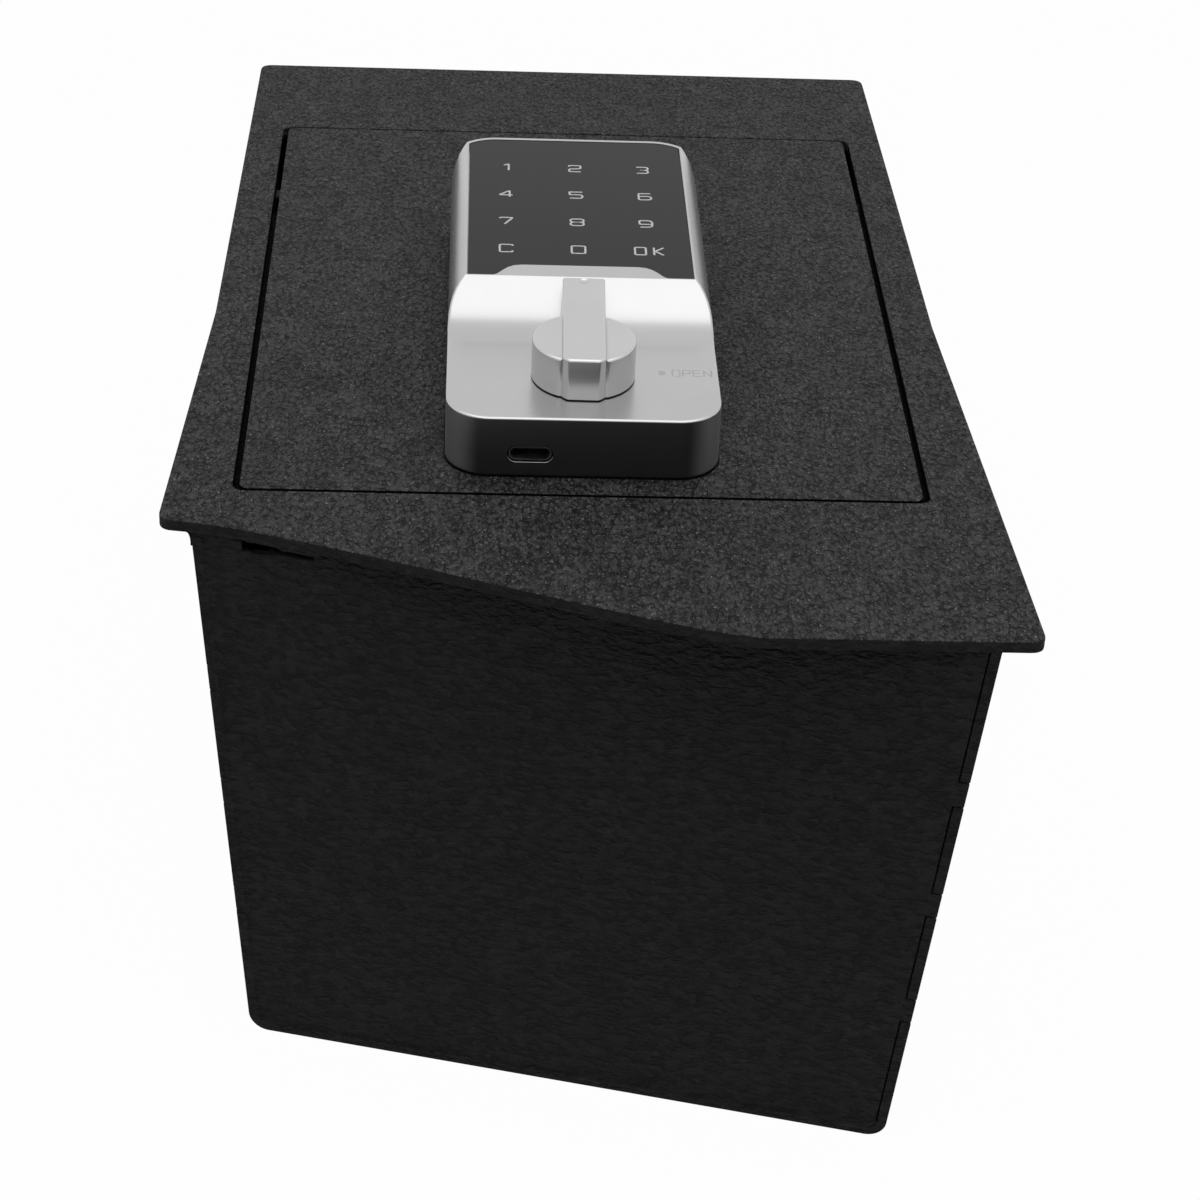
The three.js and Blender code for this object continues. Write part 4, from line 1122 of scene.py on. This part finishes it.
# %% Draw the legends
STROKE = 0.26
STROKE_RINGS = 2
SQUARE_CORNER = 0.16
ROUND_CORNER = 0.40
SHARP_CORNER = 0.04
ROUND_RIGHT = "35689"
ROUND_ALL = "8"
SHARP_LEFT = "5"
ARC_STEPS = (0, 0.25, 0.5, 0.75, 1)
LETTER_PITCH = 1.4
INK_FLAT = 0.12
GLYPHS = {
    "0": [[(0, 0), (1, 0), (1, 1), (0, 1), (0, 0)]],
    "1": [[(0, 0.8), (1, 1), (1, 0)]],
    "2": [[(0, 0.8), (0, 1), (1, 1), (1, 0.52), (0, 0.42), (0, 0), (1, 0)]],
    "3": [[(0, 1), (1, 1), (1, 0.5), (0.3, 0.5)], [(0.3, 0.5), (1, 0.5), (1, 0), (0, 0)]],
    "4": [[(0.78, 0), (0.78, 1), (0, 0.28), (1, 0.28)]],
    "5": [[(1, 1), (0, 1), (0, 0.56), (1, 0.56), (1, 0), (0, 0)]],
    "6": [[(0.95, 1), (0, 1), (0, 0), (1, 0), (1, 0.56), (0, 0.56)]],
    "7": [[(0, 0.85), (0, 1), (1, 1), (0.35, 0)]],
    "8": [
        [(0, 0), (1, 0), (1, 0.52), (0, 0.52), (0, 0)],
        [(0, 0.52), (0, 1), (1, 1), (1, 0.52), (0, 0.52)],
    ],
    "9": [[(0.05, 0), (1, 0), (1, 1), (0, 1), (0, 0.44), (1, 0.44)]],
    "C": [[(1, 0.82), (1, 1), (0, 1), (0, 0), (1, 0), (1, 0.18)]],
    "O": [[(0, 0), (1, 0), (1, 1), (0, 1), (0, 0)]],
    "K": [[(0, 0), (0, 1)], [(1, 1), (0.12, 0.5), (1, 0)]],
    "P": [[(0, 0), (0, 1), (1, 1), (1, 0.45), (0, 0.45)]],
    "E": [[(1, 1), (0, 1), (0, 0), (1, 0)], [(0, 0.5), (0.85, 0.5)]],
    "N": [[(0, 0), (0, 1), (1, 0), (1, 1)]],
}


def corner_size(letter, point, width):
    """How wide the arc at a letter's corner is, as a share of the letter's width."""
    if letter in ROUND_ALL or (letter in ROUND_RIGHT and point.x > width * 0.9):
        return ROUND_CORNER
    if letter in SHARP_LEFT and point.x < width * 0.1:
        return SHARP_CORNER
    return SQUARE_CORNER


def corner_points(letter, stroke, width, height):
    """A stroke's points in millimetres, with its corners bent into small arcs."""
    points = [Vector((x * width, y * height)) for x, y in stroke]
    closed = (points[0] - points[-1]).length < 1e-6
    if closed:
        points = points[:-1]
    made = []
    for i, point in enumerate(points):
        if not closed and i in (0, len(points) - 1):
            made.append(point)
            continue
        before, after = points[i - 1], points[(i + 1) % len(points)]
        wanted = corner_size(letter, point, width) * width
        reach = min(wanted, (before - point).length / 2, (after - point).length / 2)
        start = point + (before - point).normalized() * reach
        end = point + (after - point).normalized() * reach
        for t in ARC_STEPS:
            made.append(start * (1 - t) ** 2 + point * 2 * t * (1 - t) + end * t ** 2)
    return made, closed


def draw_legend(name, letters, left, low, height_z, width, height, stroke):
    """Letters in a row as a thin flat mesh that lies on a face at height_z."""
    lines = []
    for i, letter in enumerate(letters):
        for line in GLYPHS[letter]:
            points, closed = corner_points(letter, line, width, height)
            places = [((p.x + i * width * LETTER_PITCH) * MM, p.y * MM, 0) for p in points]
            lines.append(([(place, 1) for place in places], closed))
    made = line_mesh(name, lines, stroke, STROKE_RINGS)
    made.scale = (1, 1, INK_FLAT)
    made.location = spot(left, low, height_z)
    return added(name)


# Each key: its letter, then the left, lower, right and upper edge of its ink
KEYS = [
    ("1", -17.0, 20.1, -15.35, 24.0), ("2", -1.75, 20.1, 1.45, 24.0), ("3", 14.05, 20.1, 17.25, 24.0),
    ("4", -18.1, 5.7, -14.5, 9.5), ("5", -1.9, 5.7, 1.55, 9.5), ("6", 14.0, 5.7, 17.4, 9.5),
    ("7", -17.9, -8.7, -14.5, -4.8), ("8", -2.0, -8.7, 1.55, -4.8), ("9", 13.65, -8.7, 17.05, -4.8),
    ("C", -18.0, -22.8, -14.65, -18.6), ("0", -2.0, -22.8, 1.55, -18.6),
    ("O", 12.1, -22.8, 15.05, -18.6), ("K", 16.35, -22.8, 19.0, -18.6),
]
legends = [
    draw_legend(
        "key_" + text, text, left + STROKE, low + STROKE, panel_high.z,
        right - left - 2 * STROKE, high - low - 2 * STROKE, STROKE,
    )
    for text, left, low, right, high in KEYS
]
key_marks = join(legends, "keypad_marks")
place_piece(key_marks, "door", material=key_print)
print("keypad marks:", len(key_marks.data.polygons), "faces")

# %% [markdown]
# ## The open mark
# Beside the knob a small square and the word OPEN are printed in a grey only a little darker
# than the silver. They say where the bar points when the bolt is drawn back.

# %% Print the open mark
OPEN_LEFT, OPEN_LOW = 19.05, -64.1
OPEN_WIDTH, OPEN_HEIGHT = 1.6, 2.7
OPEN_STROKE = 0.14
SQUARE_LOW = (16.15, -63.7, DECK_Z - 0.02)
SQUARE_HIGH = (17.55, -62.0, DECK_Z + 0.015)
SQUARE_ROUND = 0.15
open_word = draw_legend(
    "open_word", "OPEN", OPEN_LEFT, OPEN_LOW, DECK_Z, OPEN_WIDTH, OPEN_HEIGHT, OPEN_STROKE,
)
square = block("open_square", SQUARE_LOW, SQUARE_HIGH)
round_edges(square, SQUARE_ROUND, lambda edge: rise_of(edge) > 0.02)
open_mark = join([open_word, square], "open_mark")
place_piece(open_mark, "door", material=mark_print)
print("open mark:", len(open_mark.data.polygons), "faces")

# %% [markdown]
# ## Weld seams
# The front and back walls are welded into the bent shell, and the coat runs over the welds.
# Only the front's right corner is left open, where the tabs show. A weld is a row of small
# drops, so each seam is a thin round line whose thickness wavers, half sunk in the steel. A
# thicker one lies in the corner under the flange, and short thin ones lie along the edges of
# the tabs at the left corner. Under the flange at the front left a slot stays open, which a
# low bead narrows.

# %% Lay the weld seams
import random

weld_dice = random.Random(7)
WELD_STEP = 2.2
WELD_RINGS = 3
WELD_THIN, WELD_THICK = 0.86, 1.12
SEAM = 1.0
FLANGE_SEAM = 1.7
TAB_SEAM = 0.35
SUNK = 0.75
SEAM_TOP = -2.5
CORNER_Z = SEAM_TOP - 0.2
LEFT_TOP, LEFT_LOW, LEFT_BEND = (-77.74, SEAM_TOP), (-68.59, -127.2), (-66.3, -129.35)
RIGHT_TOP, RIGHT_LOW, RIGHT_BEND = (78.24, SEAM_TOP), (67.1, -127.2), (64.8, -129.35)
SHELL_LEFT, SHELL_RIGHT = -79.9, 80.4
BACK_FACE = 127.9
FRONT_FACE_LEFT = (-77.74, -104.3)
FRONT_SKEW = 0.2439
# Each point of the low bead: its x and its share of a seam's thickness
VENT = [(-68.5, 0.7), (-63, 0.8), (-61, 1.35), (-57, 1.6), (-53, 1.5)]
TAB_EDGES = (-98.55, -92.25, -69.85, -63.55, -41.15, -34.85)
TAB_TOP = (-77.54, -34.7)
WALL_LEAN = 0.0734


def front_face(x):
    """The front wall's outer face stands askew: its y at a given x."""
    return FRONT_FACE_LEFT[1] - (x - FRONT_FACE_LEFT[0]) * FRONT_SKEW


def weld(name, points, radius, shares=None):
    """A bead through the points, in millimetres, as one mesh with a wavering thickness.

    shares makes it thicker or thinner at each point."""
    rows = [Vector((*place, share)) for place, share in zip(points, shares or [1.0] * len(points))]
    fine = []
    for start, end in zip(rows, rows[1:]):
        steps = max(2, round((end - start).to_3d().length / WELD_STEP))
        fine += [start.lerp(end, i / steps) for i in range(steps)]
    fine.append(rows[-1])
    line = [(spot(*row.to_3d()), row.w * weld_dice.uniform(WELD_THIN, WELD_THICK)) for row in fine]
    made = line_mesh(name, [(line, False)], radius, WELD_RINGS)
    bpy.ops.object.shade_smooth()
    # The beads take the walls' darker coat, which is painted shade.
    place_piece(made, "safe_body", finish="liner_coat", material=shaded_wall_coat)
    print(name, len(fine), "drops")


wall_left = (LEFT_TOP, LEFT_LOW, LEFT_BEND)
wall_right = (RIGHT_BEND, RIGHT_LOW)
weld("weld_front", [(x, front_face(x) + SUNK, z) for x, z in wall_left + wall_right], SEAM)
weld("weld_back", [(x, BACK_FACE - SUNK, z) for x, z in (*wall_left, *wall_right, RIGHT_TOP)], SEAM)
weld(
    "weld_vent", [(x, front_face(x) + 0.3, SEAM_TOP - 0.1) for x, _ in VENT], SEAM,
    [share for _, share in VENT],
)
weld("weld_flange_back", [(x, BACK_FACE, CORNER_Z) for x in (-78.5, 77.5)], FLANGE_SEAM)
weld("weld_flange_right", [(SHELL_RIGHT, y, CORNER_Z) for y in (-40, -134)], FLANGE_SEAM)
weld("weld_flange_front", [(x, front_face(x), CORNER_Z) for x in (-35, 70)], FLANGE_SEAM)
for i, z in enumerate(TAB_EDGES):
    shell_x = TAB_TOP[0] - (z - TAB_TOP[1]) * WALL_LEAN
    run = [(x, front_face(x) + 0.2, z) for x in (shell_x + 0.25, shell_x + 2.2)]
    weld(f"weld_tab_{i + 1}", run, TAB_SEAM)

# %% [markdown]
# ## The hollow weld under the flange
# Under the flange's left side the weld shows as a hollow curve from the wall to the flange.
# It is a square bar in that corner. A bevel with a very low profile scoops out its free
# edge, and a stretch downwards makes it taller than it is wide.

# %% Lay the hollow weld
FILLET_WIDE, FILLET_TALL = 1.8, 3.6
FILLET_HOLLOW = 0.04
FILLET_FRONT, FILLET_BACK = -103.55, -34
fillet_low = (SHELL_LEFT - FILLET_WIDE, FILLET_FRONT, SEAM_TOP - FILLET_WIDE)
fillet_high = (SHELL_LEFT + 0.8, FILLET_BACK, SEAM_TOP + 0.2)
fillet = block("weld_flange_left", fillet_low, fillet_high)


def is_free_edge(edge):
    """The fillet's long lower edge, which stands away from both plates."""
    place = middle_of(edge)
    return near(place.x, fillet_low[0]) and near(place.z, fillet_low[2])


print("fillet:", round_edges(
    fillet, FILLET_WIDE - 0.1, is_free_edge, 8, clamp=False, profile=FILLET_HOLLOW,
))
edit_all(fillet)
bpy.ops.transform.resize(value=(1, 1, FILLET_TALL / FILLET_WIDE), center_override=spot(0, 0, SEAM_TOP))
bpy.ops.object.mode_set(mode="OBJECT")
smooth(fillet)
# The fillet takes the walls' darker coat, which is painted shade.
place_piece(fillet, "safe_body", finish="liner_coat", material=shaded_wall_coat)

# %% [markdown]
# ## Screws
# Four screws hold the lock from below, and one closes the battery case. Each gets the cross
# that a screwdriver needs: two crossed blocks cut out of its head.

# %% Cut the screws' crosses
CROSS_LENGTH = 3.4
CROSS_WIDTH = 0.8
CROSS_DEPTH = 1.3
SCREW_ROUND = 0.15
for node in ("lock_screw_1", "lock_screw_2", "lock_screw_3", "lock_screw_4", "cover_screw"):
    screw = trace(node, node + "_piece")
    low, high = corners(node)
    x, y = (low.x + high.x) / 2, (low.y + high.y) / 2
    for long_x, long_y in ((CROSS_LENGTH, CROSS_WIDTH), (CROSS_WIDTH, CROSS_LENGTH)):
        cut(screw, block(
            "cross", (x - long_x / 2, y - long_y / 2, low.z - PAST),
            (x + long_x / 2, y + long_y / 2, low.z + CROSS_DEPTH),
        ))
    round_all(screw, SCREW_ROUND, segments=2)
    place_piece(screw, BODY_OF[node], [node], SLOT_OF[node])
    print(screw.name, len(screw.data.polygons), "faces")

# %% [markdown]
# ## Cells
# Four cells lie across the battery case. The printed film ends short of both ends, where
# the bare can shows, so the faces beyond the film get a second material.

# %% Bare the ends of the cells
CELL_ROUND = 0.4
FILM_END = 21.3
for node in ("battery_1", "battery_2", "battery_3", "battery_4"):
    cell = trace(node, node + "_piece")
    round_all(cell, CELL_ROUND)
    place_piece(cell, BODY_OF[node], [node], SLOT_OF[node])
    cell.data.materials.append(FINISHES["zinc_steel"])
    for face in cell.data.polygons:
        off_middle = abs((face.center.x - door_top.x) / MM)
        face.material_index = 1 if off_middle > FILM_END else 0
    print(cell.name, sum(face.material_index for face in cell.data.polygons), "bare faces")

# %% [markdown]
# ## The box of the whole
# Every imported node now has a piece that stands for it. The box of the whole is printed, beside the
# imported model's box from the start.

# %% Print the sizes and finish
low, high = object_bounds()
print("visual box in mm:", [round(side / MM, 1) for side in high - low])
